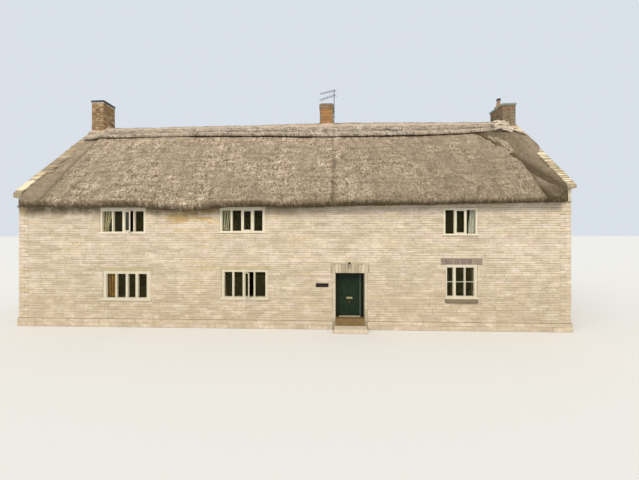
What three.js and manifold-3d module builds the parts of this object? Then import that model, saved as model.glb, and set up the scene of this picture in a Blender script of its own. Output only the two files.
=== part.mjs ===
// A long thatched stone farmhouse of two storeys, in millimetres, with +Z up.
// X runs along the front, which faces -Y. The origin is at ground level in the middle of the plan.
import * as THREE from 'three';
import { mergeVertices } from 'three/addons/utils/BufferGeometryUtils.js';
import Module from 'manifold-3d';

const wasm = await Module();
wasm.setup();

// Driving dimensions
const HALF_LENGTH = 11860;           // middle of the plan to the outer face of a gable wall
const HALF_DEPTH = 3700;             // middle of the plan to the outer face of the front wall
const LONG_WALL = 550;               // thickness of the front and rear walls
const GABLE_WALL = 500;              // thickness of the gable walls
const WALL_TOP = 5500;               // top of the front and rear walls, under the thatch
const PLINTH_HEIGHT = 350;
const PLINTH_STEP = 40;              // how far the plinth stands out from the wall above it
const FIT = 0.3;                     // gap where one piece rests against another

const GROUND_FLOOR_TOP = 450;
const UPPER_FLOOR_TOP = 2950;
const UPPER_FLOOR_THICKNESS = 150;

const ROOF_RISE = 1.11;              // rise of the thatch for each unit of run, about 48 degrees
const RIDGE_HEIGHT = 10050;          // where the two slopes of the main coat meet
const VERGE_STEP = 150;              // how far the thatch beside each gable lies below the main coat
const MAIN_COAT_ENDS = { left: [-10500, -10760], right: [10540, 10800] };  // X at the eave and at the ridge
const EAVE_REACH = 380;              // how far the thatch hangs out past the wall face
const EAVE_LOW = 5250;               // lowest edge of the thatch
const SEAT_WIDTH = 200;              // width of wall top that the thatch rests on
const VERGE_START = 9800;            // X inside the main coat where the verges begin
const VERGE_HOLLOW = 11000;          // X of the lowest line of the verges
const CAP_THICKNESS = 120;
const CAP_HALF_WIDTH = 720;          // plan width of the ridge cap on each slope
const VERGE_BEND = CAP_HALF_WIDTH + 40;  // run at which a verge dips under the ridge cap

// Gable copings: height of the apex, rise for each unit of run, underside of the kneeler stones
const COPINGS = {
  left: { side: -1, apex: 9760, rise: 1.01, kneeler: 5650 },
  right: { side: 1, apex: 10060, rise: 1.035, kneeler: 5950 },
};
const COPING_DEPTH = 180;            // upright thickness of the coping slabs
const COPING_OVERHANG = 110;         // how far the copings stand out past the gable wall
const COPING_WIDTH = 370;
const KNEELER_LENGTH = 250;          // how far the kneeler stone is built into the wall head
const KNEELER_NOSE = 150;            // how far the kneeler stands out in front of the wall

const DOOR = { left: 2130, right: 3360, top: 2400 };
const DOOR_RECESS = 330;             // wall face to the front of the door frame
const DOOR_FRAME_DEPTH = 120;
const DOOR_POST = 150;
const DOOR_HEAD = 95;
const DOOR_STOP = 15;                // lip that the closed leaf shuts against
const DOOR_GAP = 5;                  // running clearance round the leaf
const LEAF_THICKNESS = 46;
const HINGE_HEIGHTS = [700, 1385, 2070];
const KNUCKLE_RADIUS = 8.08;
const KNUCKLE_HEIGHT = 100;
const PIN_SET_BACK = 8;              // hinge pin behind the inner face of the leaf

const FRAME_SETBACK = 10;            // window frames behind the wall face
const FRAME_DEPTH = 90;
const SILL_HEIGHT = 60;
const SILL_NOSE = 50;
const SILL_HORN = 40;
const GLASS = 8;

// Windows: left, right, bottom and top of each opening, its number of lights, the widths of its
// outer members and mullions, the light that stands open, counted from 0, with its angle, and the
// jamb that a curtain is drawn back to, with the width that it covers.
const WINDOWS = {
  upper_left: {
    x0: -8180, x1: -6140, z0: 4090, z1: 5210, lights: 4, bar: 65, mullion: 65,
    open: { light: 2, angle: 20 }, curtain: { jamb: 'left', width: 500 },
  },
  upper_middle: {
    x0: -2870, x1: -900, z0: 4120, z1: 5240, lights: 4, bar: 65, mullion: 65,
    curtain: { jamb: 'left', width: 480 },
  },
  upper_right: {
    x0: 6660, x1: 8080, z0: 3950, z1: 5150, lights: 3, bar: 80, mullion: 80,
    curtain: { jamb: 'right', width: 470 },
  },
  lower_left: {
    x0: -8050, x1: -5920, z0: 1200, z1: 2450, lights: 4, bar: 65, mullion: 65,
    curtain: { jamb: 'left', width: 500 },
  },
  lower_middle: {
    x0: -2790, x1: -770, z0: 1280, z1: 2540, lights: 4, bar: 65, mullion: 65, open: { light: 2, angle: 48 },
  },
  lower_right: { x0: 6760, x1: 8060, z0: 1290, z1: 2780, lights: 3, bar: 85, mullion: 140 },
};
const SASH_DEPTH = 40;
const SASH_BAR = 40;
const SASH_PANE = 6;
const SASH_GAP = 3;                  // clearance of a casement in its light
const CURTAIN_SETBACK = 125;         // wall face to the front of a curtain's folds
const CURTAIN_DEPTH = 80;
const CURTAIN_LIFT = 30;             // hem above the level of the sill

// Chimney stacks: each runs down to the ground inside the house.
const LEFT_STACK = { x0: -11360 + FIT, x1: -10700, y0: -430, y1: 400, top: 11380 };
const MIDDLE_STACK = { x0: 1360, x1: 2070, y0: -430, y1: 430, top: 11120 };
const RIGHT_STACK = { x0: 10950, x1: 11600 - FIT, y0: -600, y1: 540, top: 10790, ledge: 8700 };

const COLOURS = {
  stone: 0xcfc0a5,
  golden: 0xc9a36b,
  brick: 0xb0764c,
  slab: 0x6f6d66,
  thatch: 0xa08f7b,
  paint: 0xf0e6cc,
  glass: 0x2a3234,
  curtain: 0xd8cdb8,
  door: 0x1f2b24,
  brass: 0xc9b273,
  clay: 0xb4613f,
  steel: 0x8b8f90,
  timber: 0x7a5637,
  board: 0x2b1d17,
  flag: 0x9a9184,
};

const INNER_X = HALF_LENGTH - GABLE_WALL;
const INNER_Y = HALF_DEPTH - LONG_WALL;
const COPING_INNER = HALF_LENGTH + COPING_OVERHANG - COPING_WIDTH;
const THATCH_SEAT = HALF_DEPTH - SEAT_WIDTH;

const house = new THREE.Group();

function piece(name, geometry, colour, roughness = 0.9, metalness = 0) {
  const material = new THREE.MeshStandardMaterial({ color: colour, roughness, metalness });
  const mesh = new THREE.Mesh(geometry, material);
  mesh.name = name;
  house.add(mesh);
  return mesh;
}

// Shapes from a few points, all returned in the house's own frame

function box(x0, x1, y0, y1, z0, z1) {
  const geometry = new THREE.BoxGeometry(x1 - x0, y1 - y0, z1 - z0);
  return geometry.translate((x0 + x1) / 2, (y0 + y1) / 2, (z0 + z1) / 2);
}

function outline(points) {
  return new THREE.Shape(points.map(([u, v]) => new THREE.Vector2(u, v)));
}

// A cross-section drawn in Y and Z, run along X.
function alongX(points, x0, x1) {
  const geometry = new THREE.ExtrudeGeometry(outline(points), { depth: x1 - x0, bevelEnabled: false });
  const turn = new THREE.Matrix4().makeBasis(
    new THREE.Vector3(0, 1, 0),
    new THREE.Vector3(0, 0, 1),
    new THREE.Vector3(1, 0, 0),
  );
  return geometry.applyMatrix4(turn).translate(x0, 0, 0);
}

// An elevation drawn in X and Z with rectangular holes, given its thickness from y0 to y1.
function alongY(points, holes, y0, y1) {
  const shape = outline(points);
  for (const hole of holes) shape.holes.push(new THREE.Path(outline(hole).getPoints()));
  const geometry = new THREE.ExtrudeGeometry(shape, { depth: y1 - y0, bevelEnabled: false });
  const turn = new THREE.Matrix4().makeBasis(
    new THREE.Vector3(1, 0, 0),
    new THREE.Vector3(0, 0, 1),
    new THREE.Vector3(0, -1, 0),
  );
  return geometry.applyMatrix4(turn).translate(0, y1, 0);
}

// A solid through cross-sections drawn in Y and Z, each at its own X, in rising order of X.
function loft(sections) {
  const count = sections[0].points.length;
  const positions = sections.flatMap(({ x, points }) => points.flatMap(([y, z]) => [x, y, z]));
  const index = [];
  for (let s = 0; s + 1 < sections.length; s += 1) {
    for (let i = 0; i < count; i += 1) {
      const j = (i + 1) % count;
      const [a, b] = [s * count + i, s * count + j];
      index.push(a, b, b + count, a, b + count, a + count);
    }
  }
  const capOf = ({ points }) => THREE.ShapeUtils.triangulateShape(outline(points).getPoints(), []);
  const last = (sections.length - 1) * count;
  for (const [a, b, c] of capOf(sections[0])) index.push(a, c, b);
  for (const [a, b, c] of capOf(sections.at(-1))) index.push(last + a, last + b, last + c);
  const geometry = new THREE.BufferGeometry();
  geometry.setAttribute('position', new THREE.BufferAttribute(new Float32Array(positions), 3));
  geometry.setIndex(index);
  return geometry;
}

// A plan drawn in X and Y, given its height from z0 to z1.
function alongZ(points, z0, z1) {
  const geometry = new THREE.ExtrudeGeometry(outline(points), { depth: z1 - z0, bevelEnabled: false });
  return geometry.translate(0, 0, z0);
}

function rectangle(u0, u1, v0, v1) {
  return [[u0, v0], [u1, v0], [u1, v1], [u0, v1]];
}

function rod(from, to, radius, sides = 10) {
  const start = new THREE.Vector3(...from);
  const end = new THREE.Vector3(...to);
  const geometry = new THREE.CylinderGeometry(radius, radius, start.distanceTo(end), sides);
  const direction = end.clone().sub(start).normalize();
  const turn = new THREE.Quaternion().setFromUnitVectors(new THREE.Vector3(0, 1, 0), direction);
  const middle = start.clone().add(end).multiplyScalar(0.5);
  return geometry.applyQuaternion(turn).translate(middle.x, middle.y, middle.z);
}

// Joining and cutting

function solid(geometry) {
  const bare = geometry.clone();
  bare.deleteAttribute('normal');
  bare.deleteAttribute('uv');
  const merged = mergeVertices(bare, 0.001);
  return new wasm.Manifold(new wasm.Mesh({
    numProp: 3,
    vertProperties: new Float32Array(merged.attributes.position.array),
    triVerts: new Uint32Array(merged.index.array),
  }));
}

function geometryOf(manifold) {
  const mesh = manifold.getMesh();
  const geometry = new THREE.BufferGeometry();
  geometry.setAttribute('position', new THREE.BufferAttribute(new Float32Array(mesh.vertProperties), 3));
  geometry.setIndex(new THREE.BufferAttribute(new Uint32Array(mesh.triVerts), 1));
  return geometry;
}

function join(...geometries) {
  return geometryOf(geometries.map(solid).reduce((whole, part) => whole.add(part)));
}

function cut(geometry, ...cutters) {
  return geometryOf(cutters.map(solid).reduce((whole, part) => whole.subtract(part), solid(geometry)));
}

// The hole that a stack needs in what it passes through
function stackHole(stack, z0, z1) {
  return box(stack.x0 - FIT, stack.x1 + FIT, stack.y0 - FIT, stack.y1 + FIT, z0, z1);
}

const FAR_DOWN = -100;
const FAR_UP = 13000;

// Walls
// side is -1 for the front of the house and 1 for its rear.

function longWall(side, x0, x1, windows) {
  const outer = side * HALF_DEPTH;
  const inner = side * INNER_Y;
  const [y0, y1] = side < 0 ? [outer, inner] : [inner, outer];
  const holes = windows.map((w) => rectangle(w.x0, w.x1, w.z0, w.z1));
  const wall = alongY(rectangle(x0, x1, 0, WALL_TOP), holes, y0, y1);
  const face = outer + side * PLINTH_STEP;
  const deep = outer - side * PLINTH_STEP;
  const plinth = box(x0, x1, Math.min(face, deep), Math.max(face, deep), 0, PLINTH_HEIGHT);
  return join(wall, plinth);
}

function copingUnderside(slabs, y) {
  return slabs.apex - COPING_DEPTH - slabs.rise * Math.abs(y);
}

// The outer part of a gable wall rises to the coping. The thatch lies on its inner part.
function gableWall(slabs) {
  const seat = HALF_DEPTH - KNEELER_LENGTH;
  const profile = [
    [-HALF_DEPTH, 0],
    [HALF_DEPTH, 0],
    [HALF_DEPTH, slabs.kneeler - FIT],
    [seat, slabs.kneeler - FIT],
    [seat, copingUnderside(slabs, seat) - FIT],
    [0, copingUnderside(slabs, 0) - FIT],
    [-seat, copingUnderside(slabs, seat) - FIT],
    [-seat, slabs.kneeler - FIT],
    [-HALF_DEPTH, slabs.kneeler - FIT],
  ];
  const span = (from, to) => (slabs.side > 0 ? [from, to] : [-to, -from]);
  const wall = alongX(profile, ...span(INNER_X, HALF_LENGTH));
  const edge = HALF_LENGTH + PLINTH_STEP;
  const reach = HALF_DEPTH + PLINTH_STEP;
  const plinth = box(...span(INNER_X, edge), -reach, reach, 0, PLINTH_HEIGHT);
  const past = HALF_DEPTH + 100;
  const roofSpace = [
    [-past, WALL_TOP],
    [-THATCH_SEAT, WALL_TOP],
    [0, WALL_TOP + ROOF_RISE * THATCH_SEAT],
    [THATCH_SEAT, WALL_TOP],
    [past, WALL_TOP],
    [past, FAR_UP],
    [-past, FAR_UP],
  ];
  return cut(join(wall, plinth), alongX(roofSpace, ...span(INNER_X - 100, COPING_INNER)));
}

function coping(slabs) {
  const seat = HALF_DEPTH - KNEELER_LENGTH + FIT;
  const nose = HALF_DEPTH + KNEELER_NOSE;
  const topAt = (y) => slabs.apex - slabs.rise * y;
  const half = [
    [nose, slabs.kneeler],
    [nose, topAt(nose) - 20],
    [HALF_DEPTH, topAt(HALF_DEPTH)],
  ];
  const under = [
    [seat, copingUnderside(slabs, seat)],
    [seat, slabs.kneeler],
  ];
  const profile = [
    ...half,
    [0, slabs.apex],
    ...half.map(([y, z]) => [-y, z]).reverse(),
    ...under.map(([y, z]) => [-y, z]).reverse(),
    [0, copingUnderside(slabs, 0)],
    ...under,
  ];
  const near = slabs.side * COPING_INNER;
  const far = slabs.side * (COPING_INNER + COPING_WIDTH);
  return alongX(profile, Math.min(near, far), Math.max(near, far));
}

function buildWalls() {
  const inside = INNER_X - FIT;
  const w = WINDOWS;
  const leftWindows = [w.upper_left, w.upper_middle, w.lower_left, w.lower_middle];
  const rightWindows = [w.upper_right, w.lower_right];
  const leftWall = longWall(-1, -inside, DOOR.left, leftWindows);
  const rightWall = longWall(-1, DOOR.right, inside, rightWindows);
  const overDoor = box(DOOR.left + FIT, DOOR.right - FIT, -HALF_DEPTH, -INNER_Y, DOOR.top, WALL_TOP);
  piece('front_wall_left', leftWall, COLOURS.stone);
  piece('front_wall_right', rightWall, COLOURS.stone);
  piece('front_wall_over_door', overDoor, COLOURS.stone);
  piece('rear_wall', longWall(1, -inside, inside, Object.values(WINDOWS)), COLOURS.stone);

  const stackLedge = box(
    RIGHT_STACK.x0 - FIT,
    RIGHT_STACK.x1 + FIT,
    RIGHT_STACK.y0 - FIT,
    RIGHT_STACK.y1 + FIT,
    RIGHT_STACK.ledge - FIT,
    FAR_UP,
  );
  piece('left_gable_wall', gableWall(COPINGS.left), COLOURS.stone);
  piece('right_gable_wall', cut(gableWall(COPINGS.right), stackLedge), COLOURS.stone);
  piece('left_coping', coping(COPINGS.left), COLOURS.golden);
  piece('right_coping', coping(COPINGS.right), COLOURS.golden);
}

// Floors, cut round the stacks that rise through them

function buildFloors() {
  const [x, y] = [INNER_X - FIT, INNER_Y - FIT];
  const stacks = [LEFT_STACK, MIDDLE_STACK, RIGHT_STACK];
  const holes = stacks.map((stack) => stackHole(stack, FAR_DOWN, FAR_UP));
  const ground = box(-x, x, -y, y, 0, GROUND_FLOOR_TOP);
  const upper = box(-x, x, -y, y, UPPER_FLOOR_TOP - UPPER_FLOOR_THICKNESS, UPPER_FLOOR_TOP);
  piece('ground_floor', cut(ground, ...holes), COLOURS.flag);
  piece('upper_floor', cut(upper, ...holes), COLOURS.timber);
}

// Thatch

// The coat's cross-section on one side under a top surface, whose height is a function of the run.
function coatProfile(side, top) {
  const tip = HALF_DEPTH + EAVE_REACH;
  const shoulder = tip - 90;
  const half = [
    [FIT / 2, WALL_TOP + FIT + ROOF_RISE * THATCH_SEAT],
    [THATCH_SEAT, WALL_TOP + FIT],
    [HALF_DEPTH, WALL_TOP + FIT],
    [tip - 60, EAVE_LOW],
    [tip - 12, EAVE_LOW + 30],
    [tip, EAVE_LOW + 110],
    [tip - 20, top(shoulder) - 150],
    [shoulder, top(shoulder)],
    [VERGE_BEND, top(VERGE_BEND)],
    [FIT / 2, top(FIT / 2)],
  ];
  const profile = half.map(([y, z]) => [side * y, z]);
  return side > 0 ? profile : profile.reverse();
}

function mainTop(y) {
  return RIDGE_HEIGHT - ROOF_RISE * y;
}

// The verge lies in a shallow hollow between the main coat and the coping, and rises to the coping.
function verge(side, slabs) {
  const low = (y) => mainTop(y) - VERGE_STEP;
  const high = (y) => {
    const level = Math.max(low(y), slabs.apex - slabs.rise * y - 30);
    return y > VERGE_BEND ? level : Math.min(level, mainTop(y) - FIT);
  };
  const end = COPING_INNER - FIT;
  const sections = [
    { x: slabs.side * VERGE_START, points: coatProfile(side, low) },
    { x: slabs.side * VERGE_HOLLOW, points: coatProfile(side, low) },
    { x: slabs.side * end, points: coatProfile(side, high) },
  ];
  return loft(slabs.side > 0 ? sections : sections.reverse());
}

function thatchSlope(side) {
  const { left, right } = MAIN_COAT_ENDS;
  const reach = HALF_DEPTH + EAVE_REACH + 20;
  const plan = [[left[0], reach], [right[0], reach], [right[1], FIT / 2], [left[1], FIT / 2]];
  const turned = plan.map(([x, y]) => [x, side * y]);
  const coat = solid(alongX(coatProfile(side, mainTop), left[1] - 100, right[1] + 100));
  const ends = solid(alongZ(side > 0 ? turned.reverse() : turned, FAR_DOWN, FAR_UP));
  const verges = [COPINGS.left, COPINGS.right].map((slabs) => solid(verge(side, slabs)));
  return geometryOf(verges.reduce((whole, part) => whole.add(part), coat.intersect(ends)));
}

function ridgeCap() {
  const under = (y) => RIDGE_HEIGHT + FIT - ROOF_RISE * y;
  const width = CAP_HALF_WIDTH;
  const half = [
    [width, under(width)],
    [width + 30, under(width) + CAP_THICKNESS * 0.7],
    [width - 30, under(width) + CAP_THICKNESS * 1.25],
    [160, under(160) + CAP_THICKNESS * 1.25],
    [60, under(0) + CAP_THICKNESS * 0.85],
  ];
  const profile = [
    ...half,
    [0, under(0) + CAP_THICKNESS],
    ...half.map(([y, z]) => [-y, z]).reverse(),
    [0, under(0)],
  ];
  const end = COPING_INNER - FIT;
  return alongX(profile, -end, end);
}

function buildRoof() {
  const stacks = [LEFT_STACK, MIDDLE_STACK, RIGHT_STACK];
  const holes = stacks.map((stack) => stackHole(stack, FAR_DOWN, FAR_UP));
  piece('thatch_front_slope', cut(thatchSlope(-1), ...holes), COLOURS.thatch, 1);
  piece('thatch_rear_slope', cut(thatchSlope(1), ...holes), COLOURS.thatch, 1);
  piece('thatch_ridge_cap', cut(ridgeCap(), ...holes), COLOURS.thatch, 1);
}

// Chimneys

function stackBox(stack, z0, z1, grow = 0) {
  return box(stack.x0 - grow, stack.x1 + grow, stack.y0 - grow, stack.y1 + grow, z0, z1);
}

function buildChimneys() {
  piece('left_chimney', stackBox(LEFT_STACK, 0, LEFT_STACK.top), COLOURS.golden);
  const leftCap = stackBox(LEFT_STACK, LEFT_STACK.top + FIT, LEFT_STACK.top + 65, 20);
  piece('left_chimney_cap', leftCap, COLOURS.slab);

  // The middle stack steps out in two courses below its crown.
  const middle = join(
    stackBox(MIDDLE_STACK, 0, MIDDLE_STACK.top - 60),
    stackBox(MIDDLE_STACK, MIDDLE_STACK.top - 290, MIDDLE_STACK.top - 60, 28),
    stackBox(MIDDLE_STACK, MIDDLE_STACK.top - 80, MIDDLE_STACK.top, -40),
  );
  piece('middle_chimney', middle, COLOURS.brick);

  // The right stack stands partly on the gable wall's ledge and partly on its own pier.
  const pier = { ...RIGHT_STACK, x1: INNER_X - FIT };
  const right = join(
    stackBox(pier, 0, RIGHT_STACK.ledge + 10),
    stackBox(RIGHT_STACK, RIGHT_STACK.ledge, RIGHT_STACK.top),
  );
  piece('right_chimney', right, COLOURS.brick);
  const rightCap = stackBox(RIGHT_STACK, RIGHT_STACK.top + FIT, RIGHT_STACK.top + 70, 40);
  piece('right_chimney_cap', rightCap, COLOURS.slab);

  const potBase = RIGHT_STACK.top + 70 + FIT;
  const potRings = [[0, 0], [150, 0], [150, 60], [125, 90], [112, 430], [135, 440], [135, 480], [0, 480]];
  const pot = new THREE.LatheGeometry(potRings.map(([r, z]) => new THREE.Vector2(r, z)), 20);
  const cowl = new THREE.CylinderGeometry(85, 95, 120, 16).translate(0, 530, 0);
  const upright = join(pot, cowl).rotateX(Math.PI / 2).translate(11140, 100, potBase);
  piece('right_chimney_pot', upright, COLOURS.clay, 0.8);
}

function buildAerial() {
  const [x, y] = [2130, -150];
  const face = MIDDLE_STACK.x1 + FIT;
  const mast = rod([x, y, 10400], [x, y, 11960], 19, 12);
  const brackets = [10480, 10760].map((z) => box(face, x, y - 15, y + 15, z - 15, z + 15));
  const upperBoom = rod([x, y, 11920], [1370, 190, 11920], 11, 8);
  const lowerBoom = rod([x, y, 11660], [1340, 400, 11660], 11, 8);
  piece('tv_aerial', join(mast, ...brackets, upperBoom, lowerBoom), COLOURS.steel, 0.5, 0.8);
}

// Windows

function lightOpenings(w) {
  const inside = { x0: w.x0 + w.bar, x1: w.x1 - w.bar };
  const clear = inside.x1 - inside.x0 - (w.lights - 1) * w.mullion;
  const width = clear / w.lights;
  return Array.from({ length: w.lights }, (_, i) => {
    const x0 = inside.x0 + i * (width + w.mullion);
    return { x0, x1: x0 + width, z0: w.z0 + SILL_HEIGHT, z1: w.z1 - w.bar };
  });
}

// A frame with its mullions and sill, in the wall opening; side says which face of the house.
function windowFrame(w, side) {
  const outer = HALF_DEPTH - FRAME_SETBACK;
  const inner = outer - FRAME_DEPTH;
  const nose = HALF_DEPTH + SILL_NOSE;
  const [z0, z1] = [w.z0 + FIT, w.z0 + SILL_HEIGHT];
  const slab = (x0, x1, near, far, low, high) => (
    side < 0 ? box(x0, x1, -far, -near, low, high) : box(x0, x1, near, far, low, high)
  );
  const blank = slab(w.x0 + FIT, w.x1 - FIT, inner, outer, w.z0 + FIT, w.z1 - FIT);
  const holes = lightOpenings(w).map((l) => slab(l.x0, l.x1, inner - 1, outer + 1, l.z0, l.z1));
  const sill = slab(w.x0 - SILL_HORN, w.x1 + SILL_HORN, HALF_DEPTH + FIT, nose, z0, z1);
  const tongue = slab(w.x0 + FIT, w.x1 - FIT, inner + 10, nose - 10, z0, z1);
  return join(cut(blank, ...holes), sill, tongue);
}

// One sheet of glass behind a frame, with the light of an open casement left clear
function windowGlass(w) {
  const inner = HALF_DEPTH - FRAME_SETBACK - FRAME_DEPTH - FIT;
  const edge = rectangle(w.x0 + 20, w.x1 - 20, w.z0 + 20, w.z1 - 20);
  const holes = [];
  if (w.open) {
    const light = lightOpenings(w)[w.open.light];
    holes.push(rectangle(light.x0, light.x1, light.z0, light.z1));
  }
  return alongY(edge, holes, -inner, -inner + GLASS);
}

// An open casement, pinned at the outer left corner of its light and standing outwards
function openCasement(w) {
  const light = lightOpenings(w)[w.open.light];
  const width = light.x1 - light.x0 - SASH_GAP;
  const height = light.z1 - light.z0 - 2 * SASH_GAP;
  const blank = box(FIT, width, 0, SASH_DEPTH, 0, height);
  const window = [FIT + SASH_BAR, width - SASH_BAR, SASH_BAR, height - SASH_BAR];
  const hole = box(window[0], window[1], -1, SASH_DEPTH + 1, window[2], window[3]);
  const pane = box(
    window[0] - 5,
    window[1] + 5,
    (SASH_DEPTH - SASH_PANE) / 2,
    (SASH_DEPTH + SASH_PANE) / 2,
    window[2] - 5,
    window[3] + 5,
  );
  const swing = THREE.MathUtils.degToRad(-w.open.angle);
  const face = -(HALF_DEPTH - FRAME_SETBACK);
  return join(cut(blank, hole), pane).rotateZ(swing).translate(light.x0, face, light.z0 + SASH_GAP);
}

// The folds of a drawn-back curtain, hung under the head of the opening against one jamb
function curtain(w) {
  const { jamb, width } = w.curtain;
  const [x0, x1] = jamb === 'left' ? [w.x0 + FIT, w.x0 + width] : [w.x1 - width, w.x1 - FIT];
  const front = -HALF_DEPTH + CURTAIN_SETBACK;
  return box(x0, x1, front, front + CURTAIN_DEPTH, w.z0 + SILL_HEIGHT + CURTAIN_LIFT, w.z1 - FIT);
}

function buildWindows() {
  for (const [name, w] of Object.entries(WINDOWS)) {
    piece(`${name}_window_frame`, windowFrame(w, -1), COLOURS.paint, 0.6);
    piece(`${name}_window_glass`, windowGlass(w), COLOURS.glass, 0.1);
    if (w.open) piece(`${name}_open_casement`, openCasement(w), COLOURS.paint, 0.6);
    if (w.curtain) piece(`${name}_curtain`, curtain(w), COLOURS.curtain, 1);
    piece(`rear_${name}_window_frame`, windowFrame(w, 1), COLOURS.paint, 0.6);
  }
}

// One sheet of glass a storey closes the rear windows from inside the wall.
function buildRearGlass() {
  for (const storey of ['upper', 'lower']) {
    const row = Object.keys(WINDOWS).filter((name) => name.startsWith(storey)).map((name) => WINDOWS[name]);
    const x0 = Math.min(...row.map((w) => w.x0)) - 30;
    const x1 = Math.max(...row.map((w) => w.x1)) + 30;
    const z0 = Math.min(...row.map((w) => w.z0)) - 30;
    const z1 = Math.max(...row.map((w) => w.z1));
    const sheet = box(x0, x1, INNER_Y - FIT - GLASS, INNER_Y - FIT, z0, z1);
    piece(`rear_${storey}_glass`, sheet, COLOURS.glass, 0.1);
  }
}

// Front door, its steps and what hangs beside it

const FRAME_FRONT = -HALF_DEPTH + DOOR_RECESS;
const FRAME_BACK = FRAME_FRONT + DOOR_FRAME_DEPTH;
const LEAF = {
  x0: DOOR.left + DOOR_POST + DOOR_GAP,
  x1: DOOR.right - DOOR_POST - DOOR_GAP,
  y0: FRAME_BACK - LEAF_THICKNESS,
  y1: FRAME_BACK,
  z0: GROUND_FLOOR_TOP + 20,
  z1: DOOR.top - DOOR_HEAD - DOOR_GAP,
};

function doorFrame() {
  const posts = [DOOR.left + DOOR_POST, DOOR.right - DOOR_POST];
  const head = DOOR.top - DOOR_HEAD;
  const ring = (left, right, top, y0, y1) => alongY(
    [
      [DOOR.left + FIT, GROUND_FLOOR_TOP + FIT],
      [left, GROUND_FLOOR_TOP + FIT],
      [left, top],
      [right, top],
      [right, GROUND_FLOOR_TOP + FIT],
      [DOOR.right - FIT, GROUND_FLOOR_TOP + FIT],
      [DOOR.right - FIT, DOOR.top - FIT],
      [DOOR.left + FIT, DOOR.top - FIT],
    ],
    [],
    y0,
    y1,
  );
  const outer = ring(posts[0], posts[1], head, FRAME_FRONT, FRAME_BACK);
  const stopBack = LEAF.y0 - DOOR_GAP;
  const stops = ring(posts[0] + DOOR_STOP, posts[1] - DOOR_STOP, head - DOOR_STOP, FRAME_FRONT, stopBack);
  return join(outer, stops);
}

function doorLeaf() {
  const pinX = LEAF.x0 - DOOR_GAP / 2;
  const pinY = LEAF.y1 + PIN_SET_BACK;
  const leaf = box(LEAF.x0, LEAF.x1, LEAF.y0, LEAF.y1, LEAF.z0, LEAF.z1);
  const hinges = HINGE_HEIGHTS.flatMap((z) => [
    rod([pinX, pinY, z - KNUCKLE_HEIGHT / 2], [pinX, pinY, z + KNUCKLE_HEIGHT / 2], KNUCKLE_RADIUS, 16),
    box(pinX, LEAF.x0 + 35, LEAF.y1 + 1, LEAF.y1 + 4, z - KNUCKLE_HEIGHT / 2, z + KNUCKLE_HEIGHT / 2),
    box(LEAF.x0 + 2, LEAF.x0 + 35, LEAF.y1 - 1, LEAF.y1 + 4, z - KNUCKLE_HEIGHT / 2, z + KNUCKLE_HEIGHT / 2),
  ]);
  return join(leaf, ...hinges);
}

function buildDoor() {
  piece('front_door_frame', doorFrame(), COLOURS.door, 0.6);
  piece('front_door', doorLeaf(), COLOURS.door, 0.5);
  const middle = (LEAF.x0 + LEAF.x1) / 2;
  const face = LEAF.y0 - FIT;
  const plate = box(middle - 130, middle + 130, face - 10, face, 1205, 1290);
  piece('letter_plate', plate, COLOURS.brass, 0.35, 1);
  const rings = [[0, 0], [32, 0], [32, 6], [12, 10], [12, 30], [28, 40], [28, 52], [16, 60], [0, 60]];
  const knob = new THREE.LatheGeometry(rings.map(([r, out]) => new THREE.Vector2(r, out)), 20);
  piece('door_knob', knob.rotateX(Math.PI).translate(middle, face, 1060), COLOURS.brass, 0.4, 1);
}

function buildSteps() {
  const [x0, x1] = [DOOR.left + FIT, DOOR.right - FIT];
  const front = -HALF_DEPTH - 60;
  const threshold = box(x0, x1, front, -INNER_Y - FIT, 0, GROUND_FLOOR_TOP);
  piece('door_threshold', threshold, COLOURS.timber);
  piece('lower_step', box(2060, 3420, front - 500, front - FIT, 0, 170), COLOURS.flag);
}

function buildWallFittings() {
  const face = -HALF_DEPTH - FIT;
  piece('name_board', box(1300, 1830, face - 22, face, 1800, 1960), COLOURS.board, 0.6);
  const lamp = join(
    box(2680, 2760, face - 20, face, 2740, 2860),
    box(2690, 2750, face - 110, face - 10, 2800, 2820),
    box(2675, 2765, face - 150, face - 70, 2700, 2805),
  );
  piece('door_lamp', lamp, COLOURS.board, 0.5, 0.5);
}

buildWalls();
buildFloors();
buildRoof();
buildChimneys();
buildAerial();
buildWindows();
buildRearGlass();
buildDoor();
buildSteps();
buildWallFittings();

export default house;
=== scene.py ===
# %% [markdown]
# # A long stone farmhouse under thatch
# The imported model gives the house as plain solids: walls with their openings, floors, two slopes
# of thatch, three chimney stacks, windows and a door on its hinge. They fix every size and place.
# This lesson dresses them: stones are laid on the walls, straw on the roof, and the joinery, the
# stacks and the small fittings are built as a mason, a thatcher and a joiner would build them.

# %% Load the imported house
import math

import bmesh
import bpy
import numpy as np
from mathutils import Matrix, Vector


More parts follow.
